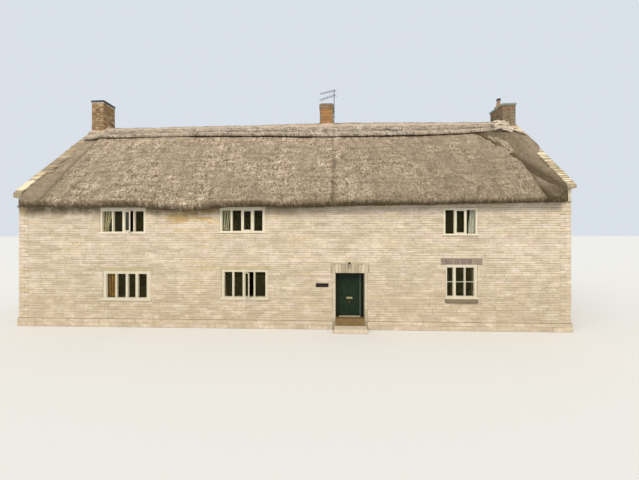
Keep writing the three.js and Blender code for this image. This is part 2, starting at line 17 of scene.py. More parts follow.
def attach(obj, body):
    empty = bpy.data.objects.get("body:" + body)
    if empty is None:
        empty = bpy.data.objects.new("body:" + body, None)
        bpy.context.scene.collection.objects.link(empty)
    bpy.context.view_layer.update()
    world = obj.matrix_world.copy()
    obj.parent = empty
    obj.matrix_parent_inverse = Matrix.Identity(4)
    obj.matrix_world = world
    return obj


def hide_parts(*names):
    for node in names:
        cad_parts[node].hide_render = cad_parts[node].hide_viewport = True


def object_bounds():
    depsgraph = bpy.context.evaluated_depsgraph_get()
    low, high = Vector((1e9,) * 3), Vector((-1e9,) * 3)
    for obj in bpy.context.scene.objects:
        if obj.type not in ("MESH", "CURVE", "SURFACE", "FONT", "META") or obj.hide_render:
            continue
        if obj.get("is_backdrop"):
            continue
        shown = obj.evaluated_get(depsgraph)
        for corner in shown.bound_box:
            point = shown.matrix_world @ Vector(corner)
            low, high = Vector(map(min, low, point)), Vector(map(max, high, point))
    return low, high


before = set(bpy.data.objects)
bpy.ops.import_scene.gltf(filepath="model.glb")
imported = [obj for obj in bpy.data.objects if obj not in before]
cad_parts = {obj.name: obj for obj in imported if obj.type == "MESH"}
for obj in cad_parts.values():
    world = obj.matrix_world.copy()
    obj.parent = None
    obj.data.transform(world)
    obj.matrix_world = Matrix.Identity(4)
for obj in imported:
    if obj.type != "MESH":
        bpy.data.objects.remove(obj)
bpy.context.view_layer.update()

bpy.ops.object.select_all(action="DESELECT")

# %% [markdown]
# ## The viewpoint
# The house is seen through a wide lens from about four metres up, level, and turned slightly to
# the left. A level camera keeps the walls upright, and a small shift puts the horizon where it
# belongs, instead of a tilt that would make the walls lean.

# %% Camera
IMAGE_WIDTH = 639  # pixels
HORIZON_ABOVE_MIDDLE = 8  # pixels
EYE = (1.87, -15.81, 4.14)
TURN_TO_THE_LEFT = math.radians(2)

bpy.ops.object.camera_add(location=EYE, rotation=(math.radians(90), 0, TURN_TO_THE_LEFT))
camera = bpy.context.object
camera.data.lens = 16
camera.data.sensor_width = 36
camera.data.shift_y = -HORIZON_ABOVE_MIDDLE / IMAGE_WIDTH
camera.data.clip_end = 400
bpy.context.scene.camera = camera
print("camera", tuple(round(v, 2) for v in camera.location), "lens", camera.data.lens, "mm")

# %% [markdown]
# ## Materials from nodes
# Every finish below is a small network of nodes. One helper adds a node, sets its options and
# fills or links its sockets, so each material reads as a list of what it is made of. Colours are
# written as on a paint chart, in sRGB, and turned to linear light in one place. Some sockets go
# by number: 1 to 4 of a Map Range are the range that it reads and the range that it gives, and 0,
# 6 and 7 of a Mix are the share and the two colours.

# %% Helpers for colours, nodes and materials
def linear(chart_colour):
    """An sRGB colour such as #cfc0a5 as linear red, green, blue and alpha."""
    parts = [int(chart_colour[i:i + 2], 16) / 255 for i in (1, 3, 5)]
    return (*(c / 12.92 if c <= 0.04045 else ((c + 0.055) / 1.055) ** 2.4 for c in parts), 1)


def set_or_link(tree, socket, value):
    """Links an output to the socket, or fills the socket with a number or a chart colour."""
    if isinstance(value, bpy.types.NodeSocket):
        tree.links.new(value, socket)
    else:
        socket.default_value = linear(value) if isinstance(value, str) else value


def add(material, kind, inputs=None, out=0, stops=(), **settings):
    """Adds one node with its settings, fills or links its sockets, and returns one of its outputs.
    The stops of a ramp are positions and colours, or colours alone where they are evenly spaced."""
    made = material.node_tree.nodes.new("ShaderNode" + kind)
    for option, value in settings.items():
        setattr(made, option, value)
    for socket, value in (inputs or {}).items():
        set_or_link(material.node_tree, made.inputs[socket], value)
    for i, stop in enumerate(stops):
        position, colour = (i / (len(stops) - 1), stop) if isinstance(stop, str) else stop
        ramp = made.color_ramp.elements
        element = ramp[i] if i < 2 else ramp.new(position)
        element.position = position
        element.color = linear(colour)
    return made.outputs[out]


def new_material(name, shader_inputs):
    """A new material whose Principled shader has these values."""
    material = bpy.data.materials.new(name)
    material.use_nodes = True
    shade(material, shader_inputs)
    return material


def shade(material, shader_inputs):
    """Sets or links sockets of the material's Principled shader."""
    shader = material.node_tree.nodes["Principled BSDF"]
    for socket, value in shader_inputs.items():
        set_or_link(material.node_tree, shader.inputs[socket], value)


# %% [markdown]
# ## Floor and light
# A plain pale floor takes the shadow, and a pale sky gives even light from all sides. One large
# soft lamp stands in for a hazy sun, high in front and a little to the right, so the eaves throw
# a soft shadow on the walls and the stones and straw show their relief. A weaker and still softer
# lamp from the left keeps the faces that turn away from the sun from going dull.

# %% Floor, sky and lamp
studio_floor = new_material("studio floor, matt", {"Base Color": "#d9d7d2", "Roughness": 0.9})
bpy.ops.mesh.primitive_plane_add(size=600, location=(0, 0, -0.004))
floor = bpy.context.object
floor.name = "floor"
floor.data.materials.append(studio_floor)
floor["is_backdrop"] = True

sky = bpy.data.worlds.new("studio sky")
sky.use_nodes = True
sky.node_tree.nodes["Background"].inputs["Color"].default_value = linear("#dfe6ee")
sky.node_tree.nodes["Background"].inputs["Strength"].default_value = 0.95
bpy.context.scene.world = sky

bpy.ops.object.light_add(type="SUN", rotation=(math.radians(48), 0, math.radians(16)))
sun = bpy.context.object
sun.data.energy = 2.0
sun.data.angle = math.radians(28)
sun.data.color = linear("#fff4e4")[:3]

bpy.ops.object.light_add(type="SUN", rotation=(math.radians(55), 0, math.radians(-50)))
fill = bpy.context.object
fill.data.energy = 0.7
fill.data.angle = math.radians(40)
bpy.context.scene.view_settings.view_transform = "Standard"
print("floor and lights ready")

# %% [markdown]
# ## Laying many copies
# A mason shapes stones one by one, but they are all much the same block. Here one block is
# modelled, its corners are read, and copies are stretched to every stone's size while the
# worn edge keeps its width. All stones of a wall become one mesh, and each keeps its own tone in
# an attribute, so that one material can colour them all differently.

# %% Helpers for shaping a mesh
def edit(mode="EDIT"):
    bpy.ops.object.mode_set(mode=mode)


def named(name):
    """The object that was just added, under its own name."""
    piece = bpy.context.object
    piece.name = piece.data.name = name
    return piece


def select_faces(obj, wanted):
    """In edit mode, selects only the faces for which wanted says yes."""
    bpy.ops.mesh.select_all(action="DESELECT")
    shape = bmesh.from_edit_mesh(obj.data)
    for face in shape.faces:
        face.select_set(bool(wanted(face)))
    bmesh.update_edit_mesh(obj.data)


def turn_faces_outwards():
    """Selects all in edit mode and turns the faces so that they point out of the piece."""
    bpy.ops.mesh.select_all(action="SELECT")
    bpy.ops.mesh.normals_make_consistent(inside=False)


# %% Helpers for copies and pieces
def take_model(obj):
    """The corners and faces of a small model, which is then removed."""
    corners = np.array([v.co for v in obj.data.vertices])
    faces = [tuple(p.vertices) for p in obj.data.polygons]
    bpy.data.objects.remove(obj)
    return corners, faces


def finish_piece(piece, material, body="house"):
    """Gives a piece its material, and the body that it moves with."""
    piece.data.materials.append(material)
    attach(piece, body)
    print(piece.name, len(piece.data.polygons), "faces")
    return piece


def copies(name, model, shapes, material, tones, body="house"):
    """One piece from many copies; shapes holds the corners of each copy, already in place, and
    tones has one for each copy."""
    count, corner_count = shapes.shape[:2]
    faces = [tuple(c + k * corner_count for c in face) for k in range(count) for face in model[1]]
    mesh = bpy.data.meshes.new(name)
    mesh.from_pydata(shapes.reshape(-1, 3), [], faces)
    values = np.repeat(tones, corner_count)
    mesh.attributes.new("tone", "FLOAT", "POINT").data.foreach_set("value", values)
    mesh.polygons.foreach_set("use_smooth", [False] * len(mesh.polygons))
    piece = bpy.data.objects.new(name, mesh)
    bpy.context.scene.collection.objects.link(piece)
    return finish_piece(piece, material, body)


def finish_nodes(names, material):
    """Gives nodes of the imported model, which keep their shape, another material."""
    for name in names:
        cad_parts[name].data.materials.clear()
        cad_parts[name].data.materials.append(material)


# %% The faces of the walls
class WallFace:
    """A wall's own directions: along it as seen from outside, up, and straight out."""
    def __init__(self, origin, along):
        self.origin = np.array(origin)
        self.along = np.array(along)
        self.up = np.array((0, 0, 1))
        self.out = np.cross(self.along, self.up)

    def place(self, points):
        """Points given along, up and out, as points of the house."""
        return self.origin + points @ np.array((self.along, self.up, self.out))


HALF_LENGTH = 11.86  # middle of the plan to the outer face of a gable wall
HALF_DEPTH = 3.7  # middle of the plan to the outer face of the front wall
FRONT = WallFace((0, -HALF_DEPTH, 0), (1, 0, 0))
REAR = WallFace((0, HALF_DEPTH, 0), (-1, 0, 0))
RIGHT = WallFace((HALF_LENGTH, 0, 0), (0, 1, 0))
LEFT = WallFace((-HALF_LENGTH, 0, 0), (0, -1, 0))
print("walls", 2 * HALF_LENGTH, "m long and", 2 * HALF_DEPTH, "m deep")

# %% [markdown]
# ## Walling stone
# The walls are of cream, grey and golden lias, a limestone that splits in thin beds, squared by
# hammer and laid in level courses about as high as a hand is wide. The block below gets a worn
# edge all round its face. Each stone's tone picks its colour from a bed of stone colours, with
# slow drifts from one part of the quarry to another, and fine noise gives it grain and speckle.

# %% The worn block
WORN_EDGE = 0.009

bpy.ops.mesh.primitive_cube_add(size=1)
block = bpy.context.object
edit()
select_faces(block, lambda face: face.normal.z > 0.9)
bpy.ops.mesh.bevel(offset=WORN_EDGE, affect="EDGES", segments=1)
edit("OBJECT")
BLOCK = take_model(block)
print("block", len(BLOCK[1]), "faces")

# %% Stretching blocks to their places
def stretched(model, low, high, rng, wander=0.004):
    """Copies of the model from low to high corners, with its worn edge kept and corners moved.
    The four corners nearest the wall move only along it."""
    corners = model[0]
    middle = (low + high)[:, None] / 2
    half = (high - low)[:, None] / 2
    near_edge = np.sign(corners) * (half - (0.5 - np.abs(corners)))
    shapes = middle + np.where(np.abs(corners) < 0.25, corners, near_edge)
    corner_number = ((corners > 0) @ (1, 2, 4)).astype(int)
    moves = rng.uniform(-wander, wander, (len(low), 8, 3))
    moves[:, :4, 2] = 0
    return shapes + moves[:, corner_number]


def on_wall(wall, stones, model, sunk, rng, wander=0.004):
    """The corners of stones on a wall face; each stone is left, right, bottom, top and how far it
    stands out, and reaches back by sunk."""
    rows = np.array(stones)
    low = np.column_stack((rows[:, 0], rows[:, 2], np.full(len(rows), -sunk)))
    high = np.column_stack((rows[:, 1], rows[:, 3], rows[:, 4]))
    return wall.place(stretched(model, low, high, rng, wander))


def lay(name, wall, stones, seed, sunk=0.03, golden=()):
    """Lays stones of lias on a wall face. golden lists places with more golden stones: their
    middle, along and up, half their size, and how golden they are."""
    rng = np.random.default_rng(seed)
    shapes = on_wall(wall, stones, BLOCK, sunk, rng)
    tones = rng.uniform(0.06, 0.76, len(stones))
    left, _, bottom, _, _ = np.array(stones).T
    for along, up, half_width, half_height, strength in golden:
        far = ((left - along) / half_width) ** 2 + ((bottom - up) / half_height) ** 2
        tones += strength * np.exp(-far)
    return copies(name, BLOCK, shapes, lias, np.minimum(tones, 1))


# %% Finishes of stone and mortar
def drawn_out(material, place, scale, detail, roughness=0.5):
    """Noise that changes scale times a metre, with another scale for each axis."""
    scaled = add(material, "VectorMath", {0: place, 1: scale}, operation="MULTIPLY")
    noise = {"Vector": scaled, "Scale": 1, "Detail": detail, "Roughness": roughness}
    return add(material, "TexNoise", noise)


def roughen(material, *reliefs):
    """Bump from several reliefs; each is a height output and its depth in metres."""
    normal = None
    for height, depth in reliefs:
        sockets = {"Height": height, "Strength": 1.0, "Distance": depth}
        if normal:
            sockets["Normal"] = normal
        normal = add(material, "Bump", sockets)
    shade(material, {"Normal": normal})


def stone_finish(name, bed, stain, drift=0.2, relief=0.004):
    """Rough limestone: bed gives the stones' colours, stain what the weather leaves on them."""
    material = new_material(name, {"Roughness": 0.92, "Specular IOR Level": 0.25})
    place = add(material, "TexCoord", out="Object")
    tone = add(material, "Attribute", out="Fac", attribute_name="tone")
    quarry = add(material, "TexNoise", {"Vector": place, "Scale": 0.4, "Detail": 2})
    drifted = add(material, "MapRange", {"Value": quarry, 1: 0.3, 2: 0.7, 3: -drift, 4: drift * 0.6})
    pick = add(material, "Math", {0: tone, 1: drifted}, operation="ADD")
    colour = add(material, "ValToRGB", {0: pick}, stops=bed)
    cloud = add(material, "TexNoise", {"Vector": place, "Scale": 7, "Detail": 5})
    stained = add(material, "MapRange", {"Value": cloud, 1: 0.45, 2: 0.75, 3: 0, 4: 0.4})
    colour = add(material, "Mix", {0: stained, 6: colour, 7: stain}, 2, data_type="RGBA")
    grain = add(material, "TexNoise", {"Vector": place, "Scale": 70, "Detail": 4, "Roughness": 0.7})
    speckle = add(material, "ValToRGB", {0: grain}, stops=((0.3, "#dadada"), (0.6, "#ffffff")))
    colour = add(material, "Mix", {0: 1.0, 6: colour, 7: speckle}, 2, data_type="RGBA",
                 blend_type="MULTIPLY")
    shade(material, {"Base Color": colour})
    hammered = add(material, "TexNoise", {"Vector": place, "Scale": 22, "Detail": 4})
    roughen(material, (hammered, relief * 2), (grain, relief / 2))
    return material


lias = stone_finish(
    "lias limestone, hammer squared",
    bed=((0.0, "#c3b49c"), (0.2, "#d1c2aa"), (0.4, "#dccdb4"), (0.55, "#d8c6b5"),
         (0.72, "#dccbb0"), (0.86, "#d9c49c"), (1.0, "#cda86a")),
    stain="#b3a184", drift=0.16,
)
mortar = stone_finish(
    "lime mortar, weathered",
    bed=("#9f9278", "#ad9f84", "#bbae92"),
    stain="#85795f", relief=0.002,
)

# %% [markdown]
# ## Openings, corners and dressings
# A wall is set out from its openings. The courses stop at the windows and the doorway, at the
# large corner stones, called quoins, and at the tall jamb stones and the flat arch of the doorway.
# All these are rectangles that the walling has to leave clear, so they are listed first.

# %% Setting out the walls
WALL_TOP = 5.5
PLINTH_TOP = 0.35
PLINTH_OUT = 0.04
DOORWAY = (2.13, 3.36, 0.0, 2.4)
ARCH = (1.93, 3.56, 2.4, 2.79)
JAMBS = [(2.0, 2.13, 0.0, 2.4), (3.36, 3.49, 0.0, 2.4)]

# Left, right, bottom and top of each window opening as seen from the front
WINDOWS = {
    "upper_left": (-8.18, -6.14, 4.09, 5.21),
    "upper_middle": (-2.87, -0.9, 4.12, 5.24),
    "upper_right": (6.66, 8.08, 3.95, 5.15),
    "lower_left": (-8.05, -5.92, 1.2, 2.45),
    "lower_middle": (-2.79, -0.77, 1.28, 2.54),
    "lower_right": (6.76, 8.06, 1.29, 2.78),
}
LINTEL_HEIGHT = 0.11
LINTEL_BEARING = 0.09  # how far a lintel board reaches past its opening
LINTELS = [
    (left - LINTEL_BEARING, right + LINTEL_BEARING, top, top + LINTEL_HEIGHT)
    for left, right, _, top in (WINDOWS["lower_left"], WINDOWS["lower_middle"])
]
RELIEVING = (6.55, 8.27, 2.78, 3.03)
STONE_SILL = (6.74, 8.07, 1.16, 1.29)


def mirrored(rectangles):
    """The same rectangles seen from the rear, where left and right change places."""
    return [(-right, -left, low, high) for left, right, low, high in rectangles]


# %% Setting out the corner stones
QUOIN_LONG, QUOIN_SHORT = 0.44, 0.24  # they take turns up each corner
CORNERS = {"front_left": 11, "front_right": 12, "rear_right": 13, "rear_left": 14}


def quoin_levels(corner):
    """Bed joints of a corner's quoins; each corner has its own seed in CORNERS."""
    rng = np.random.default_rng(CORNERS[corner])
    levels = [PLINTH_TOP]
    while levels[-1] < WALL_TOP - 0.28:
        levels.append(levels[-1] + rng.uniform(0.11, 0.2))
    levels[-1] = WALL_TOP
    return levels


def quoins_on(corner, end, wall_half, first_long):
    """The rectangles that a corner's quoins take on one wall; end is -1 for its left end."""
    levels = quoin_levels(corner)
    rectangles = []
    for i, (low, high) in enumerate(zip(levels, levels[1:])):
        length = QUOIN_LONG if (i % 2 == 0) == first_long else QUOIN_SHORT
        edges = sorted((end * wall_half, end * (wall_half - length)))
        rectangles.append((*edges, low, high))
    return rectangles


print("quoins a corner", len(quoin_levels("front_left")) - 1)

# %% [markdown]
# ## Coursed walling
# Each course gets a height, and is cut at random into stones about three to eight times as long as
# they are high. Where a window's sill or head falls inside a course, thinner stones level it up,
# as a mason does. The level joints are wider than the upright ones, and the solid wall behind
# shows in them as mortar.

# %% Courses of stones
JOINT = 0.004  # upright joints
BED_JOINT = 0.008  # level joints
THINNEST = 0.035  # lower stones than this are left out


def cut_course(left, right, low, high, clear, rng, lengths):
    """Stones of one course between left and right, leaving the clear rectangles free."""
    touched = [c for c in clear if c[2] < high - 0.001 and c[3] > low + 0.001]
    ends = sorted({left, right, *(e for c in touched for e in c[:2] if left < e < right)})
    stones = []
    for a, b in zip(ends, ends[1:]):
        spans = [(low, high)]
        for c in touched:
            if c[0] < (a + b) / 2 < c[1]:
                spans = [s for l, h in spans for s in ((l, min(h, c[2])), (max(l, c[3]), h))]
                spans = [(l, h) for l, h in spans if h - l > THINNEST]
        for l, h in spans:
            joints = [a]
            while b - joints[-1] > lengths[1]:
                joints.append(joints[-1] + rng.uniform(*lengths))
            if len(joints) > 1 and b - joints[-1] < lengths[0] * 0.6:
                joints.pop()
            joints.append(b)
            for u, v in zip(joints, joints[1:]):
                bottom = l + BED_JOINT * rng.uniform(0.1, 0.8)
                stones.append((u + JOINT / 2, v - JOINT / 2, bottom, h - BED_JOINT * rng.uniform(0.1, 0.8)))
    return stones


def coursed(left, right, bottom, top, clear, seed, heights=(0.07, 0.13), lengths=(0.28, 0.8),
            narrowing=None):
    """Stones of all courses of a wall, each with how far it stands out of the mortar; narrowing
    gives half the width of a gable wall at a height."""
    rng = np.random.default_rng(seed)
    stones = []
    low = bottom
    while low < top - 0.02:
        high = low + rng.uniform(*heights)
        if high > top - 0.06:
            high = top
        edge = narrowing(high) if narrowing else math.inf
        if min(right, edge) - max(left, -edge) > 0.15:
            stones += cut_course(max(left, -edge), min(right, edge), low, high, clear, rng, lengths)
        low = high
    return [(*stone, rng.uniform(0.005, 0.015)) for stone in stones]


# %% Front and rear walls
on_both = [*WINDOWS.values(), *LINTELS, RELIEVING, STONE_SILL]
front_clear = [
    *on_both, DOORWAY, ARCH, *JAMBS,
    *quoins_on("front_left", -1, HALF_LENGTH, True), *quoins_on("front_right", 1, HALF_LENGTH, True),
]
rear_clear = [
    *mirrored(on_both),
    *quoins_on("rear_right", -1, HALF_LENGTH, True), *quoins_on("rear_left", 1, HALF_LENGTH, True),
]
# Places with more golden stones: middle along and up, half their size, and strength
GOLDEN = (
    (-4.7, 4.95, 2.0, 0.6, 0.5), (-9.4, 3.4, 0.9, 0.4, 0.25), (3.3, 4.7, 0.5, 0.2, 0.35),
    (0.5, 4.9, 1.2, 0.3, 0.2),
)
for name, wall, clear, seed, golden in (
    ("front_walling", FRONT, front_clear, 21, GOLDEN),
    ("rear_walling", REAR, rear_clear, 23, ()),
):
    stones = coursed(-HALF_LENGTH, HALF_LENGTH, PLINTH_TOP, WALL_TOP - 0.01, clear, seed)
    lay(name, wall, stones, seed + 10, golden=golden)

# %% [markdown]
# ## Gable walls and the plinth
# The gable walls narrow above the eaves to the slope of their copings, so each course there is as
# long as the wall is at its top. The plinth stands out a little at the foot of all four walls, in
# two courses of larger stones.

# %% Gable walls
# Height of each coping's apex, its rise for each metre of run, and the foot of its kneeler stones
COPINGS = {-1: (9.76, 1.01, 5.65), 1: (10.06, 1.035, 5.95)}
COPING_DEPTH = 0.18

for name, wall, side, corners, seed in (
    ("left_gable_walling", LEFT, -1, ("rear_left", "front_left"), 24),
    ("right_gable_walling", RIGHT, 1, ("front_right", "rear_right"), 25),
):
    apex, rise, kneeler = COPINGS[side]
    clear = [*quoins_on(corners[0], -1, HALF_DEPTH, False), *quoins_on(corners[1], 1, HALF_DEPTH, False)]
    stones = coursed(-HALF_DEPTH, HALF_DEPTH, PLINTH_TOP, kneeler, clear, seed)
    stones += coursed(
        -HALF_DEPTH, HALF_DEPTH, kneeler, apex - COPING_DEPTH, [], seed + 40,
        narrowing=lambda height: (apex - COPING_DEPTH - height) / rise - 0.02,
    )
    lay(name, wall, stones, seed + 10)

# %% Plinth
for name, wall, half, clear in (
    ("front_plinth", FRONT, HALF_LENGTH, [(JAMBS[0][0], JAMBS[1][1], 0.0, PLINTH_TOP)]),
    ("rear_plinth", REAR, HALF_LENGTH, []),
    ("left_plinth", LEFT, HALF_DEPTH, []),
    ("right_plinth", RIGHT, HALF_DEPTH, []),
):
    reach = half + PLINTH_OUT
    stones = [(*stone[:4], stone[4] + PLINTH_OUT) for stone in
              coursed(-reach, reach, 0.0, PLINTH_TOP, clear, 51, heights=(0.16, 0.19))]
    lay(name, wall, stones, 52, sunk=-0.01)

# %% [markdown]
# ## Quoins
# The corner stones are cut square on two faces, with a long face on one wall and a short one on
# the other by turns, which ties the two walls together. Each is a whole block that reaches round
# the corner, with all its edges worn.

# %% Corner stones
def eased_block(width, segments=1):
    """A cube with all its edges bevelled to this width, as a model for copies."""
    bpy.ops.mesh.primitive_cube_add(size=1)
    edit()
    bpy.ops.mesh.bevel(offset=width, affect="EDGES", segments=segments)
    edit("OBJECT")
    return take_model(bpy.context.object)


WHOLE_BLOCK = eased_block(0.012)
QUOINS_OUT = 0.014  # how far the corner stones stand out of the mortar
pale_stone = stone_finish(
    "dressed limestone, pale",
    bed=("#b9ad94", "#cdc1a7", "#d9cdb3"),
    stain="#a2977f", drift=0.15, relief=0.002,
)


def quoins(corner, x_side, y_side, seed):
    """Whole blocks round one corner of the house; the sides are -1 or 1."""
    rng = np.random.default_rng(seed)
    levels = np.array(quoin_levels(corner))
    count = len(levels) - 1
    low, high = levels[:-1] + BED_JOINT / 2, levels[1:] - BED_JOINT / 2
    even = np.arange(count) % 2 == 0
    along = np.where(even, QUOIN_LONG, QUOIN_SHORT) - JOINT / 2
    across = np.where(even, QUOIN_SHORT, QUOIN_LONG) - JOINT / 2
    near = np.column_stack((x_side * (HALF_LENGTH - along), y_side * (HALF_DEPTH - across), low))
    outer_x, outer_y = x_side * (HALF_LENGTH + QUOINS_OUT), y_side * (HALF_DEPTH + QUOINS_OUT)
    far = np.column_stack((np.full(count, outer_x), np.full(count, outer_y), high))
    shapes = stretched(WHOLE_BLOCK, np.minimum(near, far), np.maximum(near, far), rng, 0.003)
    copies(corner + "_quoins", WHOLE_BLOCK, shapes, lias, rng.uniform(0.1, 0.8, count))


quoins("front_left", -1, -1, 61)
quoins("front_right", 1, -1, 62)
quoins("rear_right", 1, 1, 63)
quoins("rear_left", -1, 1, 64)

# %% [markdown]
# ## Where one material changes
# Some changes follow the house and not the single stones. The solid walls show as mortar in the
# joints outside, while inside they are unlined rubble, painted a dim brown as the shade of the
# unlit rooms, which keeps the rooms dark behind the panes. Towards the left the top courses are
# darkened under the eave, a painted shadow of the eave over a brown stain from drips; the wall is
# darker towards the ground, and grey and bleached patches drift over it all.

# %% Tints by place
def tint(material, share, colour):
    """Mixes one more colour over a material's own."""
    base = material.node_tree.nodes["Principled BSDF"].inputs["Base Color"].links[0].from_socket
    mixed = add(material, "Mix", {0: share, 6: base, 7: colour}, 2, data_type="RGBA")
    shade(material, {"Base Color": mixed})


def along_axis(material, axis):
    """Where a point lies along the house, across it or upwards: axis 0, 1 or 2."""
    place = add(material, "TexCoord", out="Object")
    return add(material, "SeparateXYZ", {0: place}, out=axis)


def distance_out(material, axis):
    """How far a point is from the middle of the house along an axis, to either side."""
    return add(material, "Math", {0: along_axis(material, axis)}, operation="ABSOLUTE")


# %% Rubble inside, dim as painted shade
INSIDE_LENGTH, INSIDE_DEPTH = 11.37, 3.16  # just behind the inner faces of the walls
# Inside the walls the mortar is painted a dim brown: painted shade of the unlit rooms.
within_length = add(mortar, "Math", {0: distance_out(mortar, 0), 1: INSIDE_LENGTH}, operation="LESS_THAN")
within_depth = add(mortar, "Math", {0: distance_out(mortar, 1), 1: INSIDE_DEPTH}, operation="LESS_THAN")
tint(mortar, add(mortar, "Math", {0: within_length, 1: within_depth}, operation="MULTIPLY"), "#7d6a4a")

# %% Stains and painted shadow on the outer faces
place = add(lias, "TexCoord", out="Object")
ragged = drawn_out(lias, place, (2.5, 2.5, 0.4), 4)
height = along_axis(lias, 2)
uneven = add(lias, "Math", {0: ragged, 1: 0.7, 2: height}, operation="MULTIPLY_ADD")
# Under the eave, most towards the left, the top courses are darkened: painted shadow of the eave, over a
# brown stain from drips.
eave_shadow_and_drips = add(lias, "MapRange", {"Value": uneven, 1: 5.15, 2: 5.5, 3: 0, 4: 0.85})
on_long_side = add(lias, "Math", {0: distance_out(lias, 1), 1: HALF_DEPTH - 0.02}, operation="GREATER_THAN")
stained = add(lias, "Math", {0: eave_shadow_and_drips, 1: on_long_side}, operation="MULTIPLY")
to_the_left = add(lias, "MapRange", {"Value": along_axis(lias, 0), 1: 2.5, 2: -1.5, 3: 0, 4: 1})
tint(lias, add(lias, "Math", {0: stained, 1: to_the_left}, operation="MULTIPLY"), "#62522a")

# %% Darker towards the ground, grey patches and bleached patches
# The wall is tinted darker towards the ground.
near_ground = add(lias, "MapRange", {"Value": uneven, 1: 3.4, 2: 1.6, 3: 0, 4: 0.3})
tint(lias, near_ground, "#9f8d69")
blotch = drawn_out(lias, place, (2, 2, 4.5), 6, roughness=0.62)
weathered = add(lias, "MapRange", {"Value": blotch, 1: 0.5, 2: 0.64, 3: 0, 4: 0.45})
tint(lias, weathered, "#ad9d84")
bleached = add(lias, "MapRange", {"Value": blotch, 1: 0.47, 2: 0.35, 3: 0, 4: 0.4})
tint(lias, bleached, "#eadbcb")

finish_nodes(
    ("front_wall_left", "front_wall_right", "front_wall_over_door", "rear_wall", "left_gable_wall",
     "right_gable_wall"),
    mortar,
)

# %% [markdown]
# ## Thatch
# The roof is a thick coat of wheat reed, laid in handfuls with the stems running down the slope
# and dressed to an even but never flat surface. It is made here as one long tube of mesh: a grid
# is bent round the coat's cross-section at every step along the house, then pushed out and in by
# lumps of several sizes. The lines of the ridge and the eaves were never quite level, and they
# lumps of several sizes. The lines of the ridge and the eaves were never quite level, and they
# follow the real ones. Beside each gable a narrow strip lies lower and smoother, and laps over the
# coping.

# %% Lines of the roof
# Places along the house, and the height at each
EAVE_LINE = (
    (-11.36, 5.24), (-9.9, 5.2), (-8.6, 5.19), (-7.9, 5.24), (-6.1, 5.24), (-5.4, 5.04), (-3.5, 5.04),
    (-2.8, 5.19), (-1.0, 5.2), (-0.2, 5.14), (1.3, 5.18), (2.9, 5.22), (5.0, 5.245), (7.2, 5.28),
    (8.7, 5.29), (10.4, 5.34), (11.36, 5.36),
)
RIDGE_LINE = (
    (-11.36, 9.98), (-10.37, 9.97), (-8.33, 9.97), (-5.44, 10.01), (-2.59, 10.03), (0.23, 10.08),
    (2.18, 10.11), (5.76, 10.09), (8.48, 10.05), (10.63, 10.05), (11.36, 10.05),
)
SMOOTHING = np.linspace(-0.6, 0.6, 7)  # a line's height is the mean at these steps
DOWN_A_METRE_OUT = 1.5  # how far it is down the slope for each metre out
SQUARE_OUT, SQUARE_UP = 0.74, 0.67  # the direction square to the slope


def along_line(line, x):
    """Height of a roof line at x, with its corners rounded off."""
    places, heights = np.array(line).T
    return np.mean([np.interp(x + d, places, heights) for d in SMOOTHING], axis=0)


def lumps(u, v, size_u, size_v, seed):
    """Smooth seeded lumps between -1 and 1, size_u metres one way and size_v the other."""
    u, v = u / size_u, v / size_v
    i, j = np.floor(u).astype(int), np.floor(v).astype(int)
    table = np.random.default_rng(seed).uniform(-1, 1, (np.ptp(i) + 2, np.ptp(j) + 2))
    fu, fv = u - i, v - j
    fu, fv = fu * fu * (3 - 2 * fu), fv * fv * (3 - 2 * fv)
    i, j = i - i.min(), j - j.min()
    low = table[i, j] * (1 - fu) + table[i + 1, j] * fu
    high = table[i, j + 1] * (1 - fu) + table[i + 1, j + 1] * fu
    return low * (1 - fv) + high * fv


# %% Bending a grid round a cross-section
def tube(name, places, rings, marks, material):
    """A closed tube: places are X for each step and ring point, rings their Y and Z, and marks
    the values that its material reads."""
    steps, count = places.shape
    bpy.ops.mesh.primitive_grid_add(x_subdivisions=steps - 1, y_subdivisions=count - 1, size=1)
    piece = named(name)
    mesh = piece.data
    corners = np.stack((places, rings[..., 0], rings[..., 1]), axis=-1)
    mesh.vertices.foreach_set("co", corners.transpose(1, 0, 2).ravel())
    for mark, values in marks.items():
        mesh.attributes.new(mark, "FLOAT", "POINT").data.foreach_set("value", values.T.ravel())
    edit()
    bpy.ops.mesh.select_all(action="SELECT")
    bpy.ops.mesh.remove_doubles(threshold=0.0002)
    bpy.ops.mesh.select_all(action="DESELECT")
    bpy.ops.mesh.select_non_manifold()
    bpy.ops.mesh.edge_face_add()
    turn_faces_outwards()
    edit("OBJECT")
    mesh.polygons.foreach_set("use_smooth", [len(p.vertices) == 4 for p in mesh.polygons])
    return finish_piece(piece, material)


